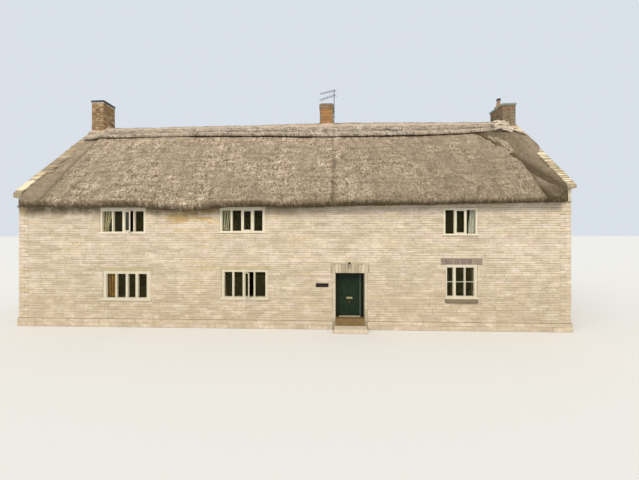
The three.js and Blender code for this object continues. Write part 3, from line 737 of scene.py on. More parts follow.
# %% Finish of the thatch
def thatch_finish(name, straws, wet, old, dark):
    """Weathered straw whose stems run down the slopes. straws gives its colours, wet and old those
    of its stains, and dark is both painted shade, in its hollows and pocks, and dark dirt; a
    mesh's tone mixes in dark, and its worn old."""
    material = new_material(name, {"Roughness": 0.95, "Specular IOR Level": 0.15})
    place = add(material, "TexCoord", out="Object")
    # Lays both slopes flat, so that the stems can be drawn along the second axis.
    outward, height = distance_out(material, 1), along_axis(material, 2)
    down = add(material, "Math", {0: outward, 1: -0.6, 2: height}, operation="MULTIPLY_ADD")
    down = add(material, "Math", {0: down, 1: 0.65}, operation="MULTIPLY")
    slope = add(material, "CombineXYZ", {0: along_axis(material, 0), 1: down})
    handfuls = add(material, "VectorMath", {0: slope, 1: (11, 13, 1)}, operation="MULTIPLY")
    armful = add(material, "TexNoise", {"Vector": handfuls, "Scale": 0.3, "Detail": 2, "Roughness": 0.6})
    handful = add(material, "TexNoise", {"Vector": handfuls, "Scale": 0.75, "Detail": 5, "Roughness": 0.6})
    tuft = add(material, "TexVoronoi", {"Vector": handfuls, "Scale": 1.4}, out="Color")
    stem = drawn_out(material, slope, (60, 20, 1), 2)
    bundle = drawn_out(material, slope, (26, 3.5, 1), 2)
    run = drawn_out(material, slope, (3.2, 0.35, 1), 4)
    course = drawn_out(material, slope, (0.5, 7, 1), 3)
    patch = add(material, "TexNoise", {"Vector": place, "Scale": 0.9, "Detail": 4})
    pock = add(material, "TexNoise", {"Vector": handfuls, "Scale": 1.7, "Detail": 1, "W": 3.0},
               noise_dimensions="4D")
    straw = handful
    for pattern, weight in ((stem, 0.6), (tuft, 0.5), (bundle, 0.7), (armful, 0.9)):
        straw = add(material, "Math", {0: pattern, 1: weight, 2: straw}, operation="MULTIPLY_ADD")
    pick = add(material, "MapRange", {"Value": straw, 1: 1.42, 2: 2.32})
    colour = add(material, "ValToRGB", {0: pick}, stops=straws)
    # The pocks take the dark colour: painted shade in small holes between the straws.
    for pattern, low, high, share, stain in (
        (run, 0.46, 0.71, 0.5, wet), (patch, 0.42, 0.62, 0.6, old), (pock, 0.56, 0.62, 0.75, dark),
        (course, 0.5, 0.62, 0.45, wet),
    ):
        part = add(material, "MapRange", {"Value": pattern, 1: low, 2: high, 3: 0, 4: share})
        colour = add(material, "Mix", {0: part, 6: colour, 7: stain}, 2, data_type="RGBA")
    for mark, shade_of in (("worn", old), ("tone", dark)):
        share = add(material, "Attribute", out="Fac", attribute_name=mark)
        colour = add(material, "Mix", {0: share, 6: colour, 7: shade_of}, 2, data_type="RGBA")
    shade(material, {"Base Color": colour})
    roughen(material, (handful, 0.03), (stem, 0.012))
    return material


thatch = thatch_finish(
    "wheat reed thatch, weathered",
    straws=((0.0, "#43372a"), (0.22, "#7b6b59"), (0.42, "#ad9a81"), (0.66, "#ccb89e"), (1.0, "#e6d7bf")),
    wet="#766854", old="#998974", dark="#463a26",
)
ridge_straw = thatch_finish(
    "wheat straw ridge, bleached",
    straws=((0.0, "#554a3d"), (0.28, "#908371"), (0.52, "#b8aa96"), (0.78, "#d5c9b8"), (1.0, "#eee5d8")),
    wet="#8d7e6a", old="#bfab96", dark="#3c3228",
)

# %% Where the coat ends
EAVE_REACH = 4.08  # from the middle of the house out to the eave
THATCH_END = 11.5997  # against the thinner top of the gable walls, which rises past the thatch
# Where the main coat ends at each gable, at the eave and at the ridge
MAIN_ENDS = {-1: (-10.5, -10.76), 1: (10.54, 10.8)}


def main_end(gable, y):
    """Where the main coat steps down to the strip beside a gable."""
    at_eave, at_ridge = MAIN_ENDS[gable]
    return at_ridge + (at_eave - at_ridge) * y / EAVE_REACH


def within_main(x, y):
    """How far a place lies within the ends of the main coat; below 0 it is on a strip."""
    return np.where(x < 0, x - main_end(-1, y), main_end(1, y) - x)


def verge_end(gable, y):
    """Where the thatch ends beside a gable: it laps over the coping, and is rounded at the eave."""
    places = (0.0, 0.7, 1.0, 1.8, 2.1, 2.4, 3.5, 3.8, 4.0, 4.09)
    laps = (0, 0, 0, 0, 0, 0, 0, -0.03, -0.08, -0.14)
    if gable > 0:
        laps = (0, 0.1, 0.34, 0.35, 0.12, 0, 0, -0.04, -0.1, -0.17)
    return gable * (THATCH_END + np.interp(y, places, laps))


# %% Cross-section of the coat
NOSE = 0.36  # thickness of the coat at the eave
SHOULDER_OUT = EAVE_REACH - 0.09  # here the slope ends and bends over into the nose
# Round the nose: how far out, and how far below the shoulder
NOSE_POINTS = ((4.02, 0.025), (4.055, 0.07), (4.075, 0.13), (4.08, 0.2), (4.068, 0.27), (4.045, 0.33),
               (4.02, 0.36))
# Under the eave: how far out, and what share of the way from the eave line to the wall top
SOFFIT_POINTS = ((3.95, 0.25), (3.85, 0.6))
# Over the wall top and up the inner side to the ridge: how far out, and how high
INNER_POINTS = ((3.7, WALL_TOP + 0.0003), (3.5, WALL_TOP + 0.0003), (1.75, 7.44), (0.0, 9.3845))
INNER_EDGE = 3.4  # further in than this, the inner side doesn't follow the lap over the coping
RAMP = 0.17  # width of the step between the main coat and a strip


def set_out(rows, main_steps):
    """X and Y of every point of a slope, with Y counted outwards: steps along the house, closer
    beside the gables, and in each step rows down the slope, the nose, the soffit and the inside."""
    below = [reach for reach, _ in (*NOSE_POINTS, *SOFFIT_POINTS, *INNER_POINTS)]
    y = np.concatenate((np.linspace(0.0, SHOULDER_OUT, rows), below, [0.0]))
    behind_nose = np.arange(len(y)) >= rows + len(NOSE_POINTS)
    edge_y = np.where(behind_nose, np.maximum(y, INNER_EDGE), y)
    left, right = main_end(-1, y), main_end(1, y)
    end_left, end_right = verge_end(-1, edge_y), verge_end(1, edge_y)
    verge = np.linspace(0, 1, 22)[:-1, None]
    step = np.linspace(0, 1, 7)[:-1, None]
    main = np.linspace(0, 1, main_steps)[:, None]
    x = np.concatenate((
        end_left + verge * (left - RAMP / 2 - end_left),
        left - RAMP / 2 + step * RAMP,
        left + RAMP / 2 + main * (right - left - RAMP),
        right - RAMP / 2 + (1 - step[::-1]) * RAMP,
        end_right - verge[::-1] * (end_right - right - RAMP / 2),
    ))
    return x, np.broadcast_to(y, x.shape)


def even_heights(x, share, rows):
    """Heights of the coat before its strips and lumps; share is how far down the slope a point is."""
    ridge, eave = along_line(RIDGE_LINE, x), along_line(EAVE_LINE, x)
    shoulder = eave + NOSE
    z = ridge + (shoulder - ridge) * share + 0.05 * np.sin(math.pi * share)
    soffit = rows + len(NOSE_POINTS)
    inner = soffit + len(SOFFIT_POINTS)
    z[:, rows:soffit] = shoulder[:, rows:soffit] - [drop for _, drop in NOSE_POINTS]
    eave = eave[:, soffit:inner]
    z[:, soffit:inner] = eave + (WALL_TOP - eave) * [part for _, part in SOFFIT_POINTS]
    z[:, inner:-1] = [height for _, height in INNER_POINTS]
    z[:, -1] = z[:, 0]
    return z


# %% Strips beside the gables
VERGE_STEP = 0.15  # how far they lie below the main coat


def strip_drop(x, y, z, on_strip, rows):
    """How far the coat drops on the strips, and less where they lap over a coping."""
    inside = within_main(x, y)
    towards_end = np.clip(-inside / (THATCH_END - np.abs(x) - inside), 0, 1) ** 1.7
    apex, rise = (np.where(x < 0, COPINGS[-1][i], COPINGS[1][i]) for i in (0, 1))
    under_cap = np.clip((y - 0.3) / 0.3, 0, 1)
    over_coping = np.interp(y, (0.0, 1.0, 1.9, 2.4, 3.7), (0.05, 0.08, 0.08, -0.1, -0.05))
    over_coping = over_coping - 0.13 * (x < 0) * (y < 2.3)
    raised = np.maximum(0, apex - rise * y + over_coping - (z - VERGE_STEP)) * under_cap
    before_nose = np.clip((rows + 4 - np.arange(x.shape[1])) / 6, 0, 1)
    return (VERGE_STEP - raised * towards_end) * on_strip * before_nose


# %% The two slopes
STREAK_X = 2.05  # rain runs down here from the middle stack


def painted_eave_and_verge_shade(x, y, inside, on_strip, rows):
    """How dark the eave and the strips are painted: mostly painted shade, under the nose of the
    eave with some weathering, in the hollow at the foot of each step, and at the low end of the
    right strip.
    """
    ring = np.arange(x.shape[1])
    at_eave = np.clip((ring - rows - np.interp(x, (3, 6), (0.5, 1.7))) / 4, 0, 1) * 0.85
    at_eave = at_eave * np.interp(x, (-9, -3, 0, 9, 11), (0.65, 0.75, 1, 1, 0.9))
    foot = np.exp(-((inside + 0.12) / 0.16) ** 2)
    low_end = np.clip((y - 3.5) / 0.4, 0, 1)
    at_verge = on_strip * np.where(x < 0, 0.1 + 0.35 * foot, 0.12 + 0.33 * foot + 0.3 * low_end)
    return np.maximum(at_eave, at_verge)


def thatch_slope(name, side, main_steps, rows, seed):
    """A slope of thatch; side is -1 for the front."""
    x, y = set_out(rows, main_steps)
    ring = np.arange(x.shape[1])
    last_outside = rows + len(NOSE_POINTS) - 1
    outside = (ring <= last_outside) * 1.0
    outside[-1] = 1
    share = np.clip(y / SHOULDER_OUT, 0, 1)
    inside = within_main(x, y)
    main_share = np.clip(inside / RAMP + 0.5, 0, 1)
    main_share = np.sqrt(1 - (1 - main_share) ** 2)
    z = even_heights(x, share, rows)
    z -= strip_drop(x, y, z, 1 - main_share, rows)

    down = y * DOWN_A_METRE_OUT
    rough = 0.03 * lumps(x, down, 1.6, 0.8, seed) + 0.018 * lumps(x, down, 0.38, 0.3, seed + 1)
    straw = 0.011 * lumps(x, down, 0.11, 0.28, seed + 2) + 0.008 * lumps(x, down, 0.055, 0.15, seed + 3)
    lift = (rough * (0.4 + 0.6 * main_share) + straw * (0.25 + 0.75 * main_share)) * outside
    lift[:, -1] = lift[:, 0]
    lift[:, :3] *= 0.3
    z = z + lift * SQUARE_UP
    y = y + lift * SQUARE_OUT * (ring > 2)
    y[:, 0] = y[:, -1] = y[:, -2] = 0.00015

    ragged = 0.26 * lumps(x, ring * 0.02 + x * 0, 0.05, 0.03, seed + 5) + 0.03
    ragged = np.clip((ring - rows + 7) / 6, 0, 1) * ragged
    streaks = 0.5 * np.exp(-((x - STREAK_X + 0.05 * np.sin(2 * y)) / 0.1) ** 2) * (0.5 + y / 8)
    to_the_right = np.clip((x - 2) / 4, 0, 1)
    # The tone is mostly painted shade on the eave and in the strips' hollows, over rain streaks below the
    # middle stack, with darker straw towards the eave, to the right and at the ragged edge.
    tones = np.maximum(painted_eave_and_verge_shade(x, y, inside, 1 - main_share, rows), streaks * (side < 0))
    tones = tones + 0.01 + 0.2 * share + 0.13 * to_the_right + ragged
    tones = np.clip(tones + 0.1 * lumps(x, down, 0.5, 0.5, seed + 4), 0, 1)
    tones[:, last_outside + 1 + len(SOFFIT_POINTS):-1] = 0.3
    worn = np.maximum(0.55 * (1 - main_share), 0.25 * to_the_right) * outside
    rings = np.stack((side * y, z), axis=-1)
    return tube(name, x, rings, {"tone": tones, "worn": worn}, thatch)


front_thatch = thatch_slope("front_thatch", -1, 560, 110, 71)
rear_thatch = thatch_slope("rear_thatch", 1, 420, 90, 75)
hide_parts("thatch_front_slope")
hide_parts("thatch_rear_slope")

# %% [markdown]
# ## Ridge cap
# A saddle of fresh straw is bent over the top to close it, and cut off straight below on both
# sides, where it stands a hand's breadth above the main coat and throws a thin dark shadow. Its
# cut face and underside are painted dark as shade, which deepens that shadow.

# %% The saddle over the ridge
CAP_THICKNESS = 0.09
# How far the saddle reaches down to either side, measured level, from one gable to the other
CAP_REACH = ((-11.36, 0.72), (-4.0, 0.75), (-1.6, 0.83), (0.3, 0.94), (1.9, 1.03), (3.5, 1.01), (6.5, 0.95),
             (8.5, 0.86), (10.0, 0.72), (11.36, 0.69))
# Shares of that reach at which the surface is set out, and how dark each is painted: a darker
# top, two thin lines of painted shade where hazel rods lie sunken, and a band of painted shade
# above the cut edge
CAP_SHARES = (0, 0.06, 0.11, 0.14, 0.17, 0.2, 0.26, 0.33, 0.4, 0.46, 0.49, 0.52, 0.55, 0.6, 0.66, 0.72, 0.77,
              0.82, 0.86, 0.9, 0.95, 0.985, 1)
CAP_SHADE_AND_TONE = ((0, 0.2), (0.11, 0.2), (0.14, 0.4), (0.17, 0.1), (0.2, 0), (0.46, 0), (0.49, 0.4), (0.52, 0.05),
             (0.66, 0.05), (0.77, 0.3), (0.82, 0.4), (0.86, 0.1), (0.9, 0), (1, 0))
UNDER_CAP = 13  # points of the cross-section below the surface


def saddle_top(x, y):
    """Height of the saddle's upper face."""
    return along_line(RIDGE_LINE, x) + CAP_THICKNESS - 1.05 * (np.hypot(y, 0.13) - 0.13)


def ridge_cap(name, steps, seed):
    """The saddle, from the cut edge at the front over the ridge to the one at the rear and back
    underneath."""
    half = np.array(CAP_SHARES)
    over = np.concatenate((-half[:0:-1], half))
    top = len(over)
    x = np.tile(np.linspace(-THATCH_END, THATCH_END, steps)[:, None], top + UNDER_CAP + 1)
    ridge, reach = along_line(RIDGE_LINE, x), along_line(CAP_REACH, x)
    y = np.zeros_like(x)
    z = np.zeros_like(x)
    y[:, :top] = over * reach[:, :top]
    z[:, :top] = saddle_top(x[:, :top], y[:, :top])
    for i, (depth, shift) in enumerate(((0.015, 0.012), (0.11, 0.004), (0.14, -0.01))):
        near, far = top + i, top + UNDER_CAP - 1 - i
        y[:, near], z[:, near] = reach[:, 0] + shift, z[:, top - 1] - depth
        y[:, far], z[:, far] = -reach[:, 0] - shift, z[:, 0] - depth
    under = slice(top + 3, top + 10)
    y[:, under] = np.linspace(1, -1, 7) * (reach[:, under] - 0.07)
    z[:, under] = ridge[:, under] + 0.02 - 1.13 * np.abs(y[:, under])
    y[:, -1], z[:, -1] = y[:, 0], z[:, 0]
    down = np.abs(y) * DOWN_A_METRE_OUT
    over_verge = np.clip((np.abs(x) - 10.7) / 0.6, 0, 1)
    z -= np.where(x < 0, 0.1, 0.05) * over_verge ** 2 * (3 - 2 * over_verge) * (y / reach) ** 2
    tip = np.clip((THATCH_END - np.abs(x)) / 0.2, 0, 1)
    tip = np.sqrt(1 - (1 - tip) ** 2)
    y *= 0.95 + 0.05 * tip
    z -= (1 - tip) * 0.07
    sway = 0.025 * lumps(x, down * 0, 1.3, 1, seed) + 0.012 * lumps(x, down * 0, 0.12, 1, seed + 1)
    rough = 0.016 * lumps(x, y, 0.5, 0.3, seed + 2) + 0.008 * lumps(x, y, 0.09, 0.2, seed + 3)
    outer = np.ones(x.shape[1])
    outer[top + 2:top + 11] = 0
    z += rough * outer
    y += sway * np.sign(y) * np.clip(np.abs(y) / reach, 0, 1) ** 3
    y[:, -1], z[:, -1] = y[:, 0], z[:, 0]
    band = np.interp(np.abs(over), *np.array(CAP_SHADE_AND_TONE).T)
    # The cut face and the underside are painted dark: painted shade beneath the cut edge.
    below = np.array((0.05, 0.1, *[0.85] * (UNDER_CAP - 4), 0.1, 0.05))
    tones = np.broadcast_to(np.concatenate((band, below, [band[0]])), x.shape)
    tones = tones * (1 + 0.9 * lumps(x, down, 0.6, 0.4, seed + 5) * (tones < 0.8))
    blots = np.clip(lumps(x, down, 0.35, 0.13, seed + 4) - 0.1, 0, 1)
    blots = blots + np.clip(lumps(x, down, 0.13, 0.09, seed + 6), 0, 1)
    tones = np.clip(tones + 0.33 * blots, 0, 1) * np.interp(x, (-11.0, -10.0), (0.4, 1.0))
    sandy = np.interp(np.abs(over), (0.17, 0.24, 0.44, 0.49), (0.0, 0.7, 0.7, 0.0))
    worn = np.broadcast_to(np.concatenate((sandy, np.zeros(UNDER_CAP + 1))), x.shape)
    return tube(name, x, np.stack((y, z), axis=-1), {"tone": tones, "worn": worn}, ridge_straw)


cap = ridge_cap("ridge_saddle", 420, 81)
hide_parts("thatch_ridge_cap")

# %% [markdown]
# ## Straw ends along the eaves
# The stems of the lowest course end in the open, and a few hang lower than the rest. A straw is
# modelled once, as a thin three-sided cone, and thousands of copies make the edge ragged.

# %% Hanging straws
bpy.ops.mesh.primitive_cone_add(vertices=3, radius1=1, radius2=0.35, depth=1)
straw = bpy.context.object
edit()
bpy.ops.mesh.select_all(action="SELECT")
bpy.ops.transform.translate(value=(0, 0, -0.5))
edit("OBJECT")
STRAW = take_model(straw)


def straw_fringe(name, side, count, seed):
    """Straws along one eave, each with its own lean, length and thickness."""
    rng = np.random.default_rng(seed)
    x = rng.uniform(-THATCH_END + 0.02, THATCH_END - 0.02, count)
    y = rng.uniform(3.98, 4.07, count)
    length = rng.uniform(0.03, 0.075, count)
    thick = rng.uniform(0.003, 0.006, count)
    lean_x, lean_y = rng.uniform(-0.35, 0.35, (2, count))
    step_down = VERGE_STEP * 0.3 * (within_main(x, y) < 0)
    level = along_line(EAVE_LINE, x) + 0.05 - step_down + rng.uniform(-0.02, 0.06, count)
    corners = STRAW[0]
    down = -corners[None, :, 2] * length[:, None]
    shapes = np.stack((
        x[:, None] + corners[None, :, 0] * thick[:, None] + lean_x[:, None] * down,
        side * (y[:, None] + corners[None, :, 1] * thick[:, None] + lean_y[:, None] * down),
        level[:, None] - down,
    ), axis=-1)
    return copies(name, STRAW, shapes, thatch, rng.uniform(0.2, 0.9, count))


straw_fringe("front_eave_straws", -1, 6000, 86)
straw_fringe("rear_eave_straws", 1, 3500, 87)

# %% [markdown]
# ## Dressings round the openings
# Stone spans an opening as a flat arch: wedge-shaped stones, called voussoirs, lean on one
# another and press outwards against the wall. The doorway has one, on jambs of tall pale stones,
# and small stones on edge relieve the window at the right. Two wide windows have a painted board
# over their heads instead.

# %% Whole blocks anywhere on the house
def blocks(name, boxes, material, seed, model=WHOLE_BLOCK, wander=0.003, body="house"):
    """Worn blocks, each given as a low and a high corner: x, y, z, x, y, z."""
    rng = np.random.default_rng(seed)
    rows = np.array(boxes)
    shapes = stretched(model, rows[:, :3], rows[:, 3:], rng, wander)
    return copies(name, model, shapes, material, rng.uniform(0, 1, len(rows)), body)


def to_rear(boxes):
    """Boxes at the rear wall, straight behind those at the front."""
    return [(x0, -y1, z0, x1, -y0, z1) for x0, y0, z0, x1, y1, z1 in boxes]


def levels_between(low, high, height, rng):
    """Bed joints from low to high, about height apart."""
    count = max(1, round((high - low) / height))
    levels = np.linspace(low, high, count + 1)
    levels[1:-1] += rng.uniform(-0.15, 0.15, count - 1) * height
    return levels


# %% Jambs and arch of the doorway
worn_stone = stone_finish(
    "dressed limestone, weathered",
    bed=("#ab9d84", "#beb096", "#d1c3ac"),
    stain="#93866c", drift=0.15, relief=0.003,
)
REVEAL_BACK = -3.373  # front of the door frame
rng = np.random.default_rng(101)
jambs = []
for left, right in ((2.0, 2.1295), (3.3605, 3.49)):
    levels = levels_between(0.0, DOORWAY[3], 0.42, rng)
    for low, high in zip(levels, levels[1:]):
        jambs.append((left, -3.712, low + 0.003, right, REVEAL_BACK, high - 0.003))
blocks("door_jambs", jambs, worn_stone, 102)


def flat_arch(name, span, splay, depth, count, material, seed):
    """Voussoirs over a span; splay is how much further the arch reaches at its top, each side."""
    left, right, low, high = span
    rng = np.random.default_rng(seed)
    joints = np.linspace(left, right, count + 1)
    joints[1:-1] += rng.uniform(-0.012, 0.012, count - 1)
    front, back = depth
    tops = high - rng.uniform(0, 0.03, count)
    low_corners = np.column_stack((joints[:-1] + 0.003, np.full(count, front), np.full(count, low)))
    high_corners = np.column_stack((joints[1:] - 0.003, np.full(count, back), tops))
    shapes = stretched(WHOLE_BLOCK, low_corners, high_corners, rng, 0.003)
    middle = (left + right) / 2
    rise = (shapes[..., 2] - low) / (high - low)
    shapes[..., 0] = middle + (shapes[..., 0] - middle) * (1 + rise * splay / (right - middle))
    return copies(name, WHOLE_BLOCK, shapes, material, rng.uniform(0, 1, count))


flat_arch("door_arch", (2.0, 3.49, 2.394, 2.785), 0.065, (-3.715, REVEAL_BACK), 11, worn_stone, 103)

# %% Stones over and under the windows
ROUND_BLOCK = eased_block(0.03, 3)
# The sill under the right window is grey brown, darkened further as painted shade.
shaded_brown_sill = stone_finish(
    "limestone sill, grey brown, darkened as painted shade",
    bed=("#7e6f58", "#8e7f66", "#9d8d74"),
    stain="#6a5d47",
)
pink_stone = stone_finish(
    "limestone on edge, pinkish grey",
    bed=("#85736a", "#968478", "#a79586"),
    stain="#75675a",
)
sill = [(STONE_SILL[0], -3.775, STONE_SILL[2] + 0.004, STONE_SILL[1], -3.69, STONE_SILL[3] + 0.038)]
for name, boxes in (("front_stone_sill", sill), ("rear_stone_sill", to_rear(sill))):
    blocks(name, boxes, shaded_brown_sill, 106, model=ROUND_BLOCK, wander=0.006)
for name, depth, seed in (
    ("front_relieving_stones", (-3.716, -3.58), 104),
    ("rear_relieving_stones", (3.58, 3.716), 105),
):
    flat_arch(name, (6.62, 8.2, 2.784, 3.025), 0.06, depth, 12, pink_stone, seed)

# %% [markdown]
# ## Copings
# Each gable wall rises past the thatch and is covered with thick stone slabs, laid like tiles
# from the foot up, so that every slab laps over the one below and sheds the rain. They sit in
# mortar on the sloping wall head. At the foot a large stone, called the kneeler, is built into
# the corner and stops them from sliding.

# %% A rough slab
bpy.ops.mesh.primitive_cube_add(size=1)
slab = bpy.context.object
edit()
bpy.ops.mesh.bevel(offset=0.018, affect="EDGES", segments=1)
select_faces(slab, lambda face: face.calc_area() > 0.5)
bpy.ops.mesh.poke(offset=0.014, use_relative_offset=False)
bpy.ops.mesh.select_all(action="SELECT")
bpy.ops.transform.vertex_random(offset=0.004, seed=7)
edit("OBJECT")
ROUGH_BLOCK = take_model(slab)

coping_stone = stone_finish(
    "limestone slab, lichen spotted",
    bed=((0.0, "#c4b090"), (0.35, "#dcc9a3"), (0.65, "#efddb9"), (1.0, "#f9ecce")),
    stain="#97866a", drift=0.15, relief=0.008,
)
brown_coping = stone_finish(
    "limestone slab, brown with lichen",
    bed=((0.0, "#8d7f6c"), (0.3, "#a0917b"), (0.6, "#b19c7f"), (0.8, "#a79b88"), (1.0, "#bcab90")),
    stain="#957a53", relief=0.008,
)

# %% Slabs lapped down a slope
LAP = 0.09  # how far a slab reaches under the one above it


def lapped_slabs(name, side, slope_side, start, end, material, seed, inner=(11.6, 11.606)):
    """Slabs down one slope of a gable, between two distances from the middle of the wall; inner
    says between what distances along the house their inner edges lie."""
    rng = np.random.default_rng(seed)
    apex, rise, _ = COPINGS[side]
    run = 1 / math.hypot(1, rise)
    down = np.array((0, slope_side * run, -rise * run))
    out = np.array((0, slope_side * rise * run, run))
    joints = [start / run]
    while joints[-1] < end / run - 0.15:
        joints.append(joints[-1] + rng.uniform(0.2, 0.46))
    joints[-1] = end / run
    joints = np.array(joints)
    count = len(joints) - 1
    inner = rng.uniform(*inner, count)
    outer = rng.uniform(11.93, 11.985, count)
    thick = rng.uniform(0.085, 0.12, count)
    low = np.column_stack((joints[:-1] - LAP, np.minimum(side * inner, side * outer), -thick))
    high = np.column_stack((joints[1:], np.maximum(side * inner, side * outer), np.zeros(count)))
    shapes = stretched(ROUGH_BLOCK, low, high, rng, 0.008)
    along = (shapes[..., 0] - low[:, None, 0]) / (high - low)[:, None, 0]
    tilt = rng.uniform(0.03, 0.075, count)[:, None]
    lift = shapes[..., 2] + rng.uniform(0.015, 0.04, count)[:, None] - tilt * (1 - along)
    points = shapes[..., 0, None] * down + lift[..., None] * out + (0, 0, apex)
    points[..., 0] = shapes[..., 1]
    return copies(name, ROUGH_BLOCK, points, material, rng.uniform(0, 1, count))


# %% Level slabs in steps
def stepped_slabs(name, side, slope_side, low, high, material, seed):
    """Flat slabs bedded level up one slope, each a step further back, between two heights."""
    rng = np.random.default_rng(seed)
    apex, rise, _ = COPINGS[side]
    boxes = []
    while low < high:
        top = low + rng.uniform(0.07, 0.125)
        outer = (apex - top) / rise + rng.uniform(0.015, 0.07)
        near, far = sorted((slope_side * outer, slope_side * (outer - rng.uniform(0.3, 0.42))))
        left, right = sorted((side * rng.uniform(11.6, 11.61), side * rng.uniform(11.93, 11.99)))
        boxes.append((left, near, low + 0.006, right, far, top - 0.006))
        low = top
    return blocks(name, boxes, material, seed + 1, model=ROUGH_BLOCK, wander=0.014)


# %% The copings of both gables
SLOPES = ((-1, "front"), (1, "rear"))
for slope_side, place in SLOPES:
    lapped_slabs(
        f"left_{place}_coping_upper", -1, slope_side, 0.05, 2.75, brown_coping, 116 + slope_side,
        inner=(11.38, 11.5),
    )
    lapped_slabs(f"left_{place}_coping_lower", -1, slope_side, 2.7, 3.75, coping_stone, 136 + slope_side)
for slope_side, place in SLOPES:
    lapped_slabs(f"right_{place}_coping_upper", 1, slope_side, 0.05, 2.25, coping_stone, 124 + slope_side)
    stepped_slabs(f"right_{place}_coping_lower", 1, slope_side, 6.1, 7.8, coping_stone, 144 + slope_side)

# %% Kneelers and the wall ends under them
golden_stone = stone_finish(
    "golden limestone, dressed",
    bed=("#bda67a", "#cfb889", "#dfc99a"),
    stain="#8f7a52", drift=0.15,
)
kneelers, heads = [], []
for side in (-1, 1):
    foot = COPINGS[side][2]
    middle = (WALL_TOP + foot) / 2
    inner, outer = sorted((side * 11.603, side * 11.965))
    wall_inner, wall_outer = sorted((side * 11.603, side * 11.874))
    for slope_side in (-1, 1):
        near, far = sorted((slope_side * 3.5, slope_side * 3.83))
        kneelers.append((inner, near, foot - 0.01, outer, far, foot + 0.14))
        near, far = sorted((slope_side * 3.45, slope_side * 3.714))
        for low, high in ((WALL_TOP + 0.003, middle), (middle + 0.006, foot - 0.016)):
            heads.append((wall_inner, near, low, wall_outer, far, high))
blocks("kneelers", kneelers, golden_stone, 141, model=ROUGH_BLOCK, wander=0.014)
blocks("gable_ends", heads, pale_stone, 142)
finish_nodes(("left_coping", "right_coping"), mortar)

# %% [markdown]
# ## Chimney stacks
# The stack at the left is of rubble, the two others of brick. A stock brick shows a face 215 mm
# long and 65 mm high, and with its joint it takes 75 mm of height, four courses to a foot. Each
# course starts half a brick further on than the one below, so that no two joints stand over one
# another, and the short ends of bricks turn the corners.

# %% Faces of a stack
def stack_faces(x0, x1, y0, y1):
    """The four wall faces of a stack, each with how long it is."""
    return (
        (WallFace((x0, y0, 0), (1, 0, 0)), x1 - x0),
        (WallFace((x1, y0, 0), (0, 1, 0)), y1 - y0),
        (WallFace((x1, y1, 0), (-1, 0, 0)), x1 - x0),
        (WallFace((x0, y1, 0), (0, -1, 0)), y1 - y0),
    )


def rings_of(name, faces, stones_for, material, slot, seed, sunk, model):
    """Lays the stones of all four faces as one piece."""
    rng = np.random.default_rng(seed)
    shapes = []
    for number, (wall, length) in enumerate(faces):
        stones = stones_for(number, length, rng)
        shapes.append(on_wall(wall, stones, model, sunk, rng, 0.0015 if slot == "brick" else 0.008))
    shapes = np.concatenate(shapes)
    return copies(name, model, shapes, material, rng.uniform(0, 1, len(shapes)))


# %% Bricks
BRICK_LENGTH, BRICK_HEIGHT, BRICK_JOINT = 0.215, 0.065, 0.01
COURSE = BRICK_HEIGHT + BRICK_JOINT


def brick_rows(low, high, out):
    """A function that gives the bricks of one face between two levels."""
    def rows(number, length, rng):
        bricks = []
        for level, bottom in enumerate(np.arange(low, high - COURSE * 0.6, COURSE)):
            top = min(bottom + BRICK_HEIGHT, high)
            joint = -out if (level + number) % 2 == 0 else -out + BRICK_LENGTH / 2
            if joint > -out:
                bricks.append((-out, joint - BRICK_JOINT, bottom, top, out + rng.uniform(-0.002, 0.002)))
            while joint < length + out - 0.03:
                end = min(joint + BRICK_LENGTH, length + out)
                bricks.append((joint, end, bottom, top, out + rng.uniform(-0.002, 0.002)))
                joint = end + BRICK_JOINT
        return bricks
    return rows


def brick_finish(name, bed, soot):
    """Hand-made brick: bed gives the colours of the firing, soot what the smoke has left."""
    material = new_material(name, {"Roughness": 0.9, "Specular IOR Level": 0.25})
    place = add(material, "TexCoord", out="Object")
    tone = add(material, "Attribute", out="Fac", attribute_name="tone")
    colour = add(material, "ValToRGB", {0: tone}, stops=bed)
    cloud = add(material, "TexNoise", {"Vector": place, "Scale": 6, "Detail": 5})
    sooted = add(material, "MapRange", {"Value": cloud, 1: 0.42, 2: 0.7, 3: 0, 4: 0.6})
    colour = add(material, "Mix", {0: sooted, 6: colour, 7: soot}, 2, data_type="RGBA")
    sand = add(material, "TexNoise", {"Vector": place, "Scale": 160, "Detail": 3})
    shade(material, {"Base Color": colour})
    roughen(material, (cloud, 0.004), (sand, 0.0015))
    return material


orange_brick = brick_finish(
    "clay brick, hand made, orange",
    bed=((0.0, "#93653a"), (0.3, "#b07844"), (0.6, "#c28a54"), (0.85, "#b1713f"), (1.0, "#8a5f3e")),
    soot="#847150",
)
grey_brick = brick_finish(
    "clay brick, smoked grey brown",
    bed=((0.0, "#665a48"), (0.4, "#7c6c58"), (0.7, "#8e7c68"), (1.0, "#8d6d5b")),
    soot="#665c4a",
)
red_brick = brick_finish(
    "clay brick, hand made, red",
    bed=((0.0, "#7c5a4b"), (0.4, "#8f5f4e"), (0.7, "#9d6453"), (1.0, "#a56d5c")),
    soot="#6e584b",
)
# The top course under the right stack's slab is dark: painted shadow of the slab.
slab_shadow_brick = brick_finish(
    "clay brick, hand made, tan",
    bed=("#6f5c40", "#846c4b", "#9a7e58"),
    soot="#665a42",
)

# %% Middle stack
def brick_bands(stack, bands):
    """Bricks round a stack in bands, each from one level to another and standing out so far."""
    for name, low, high, out, material, seed in bands:
        rings_of(name, stack_faces(*stack), brick_rows(low, high, out), material, "brick", seed, 0.03, BLOCK)


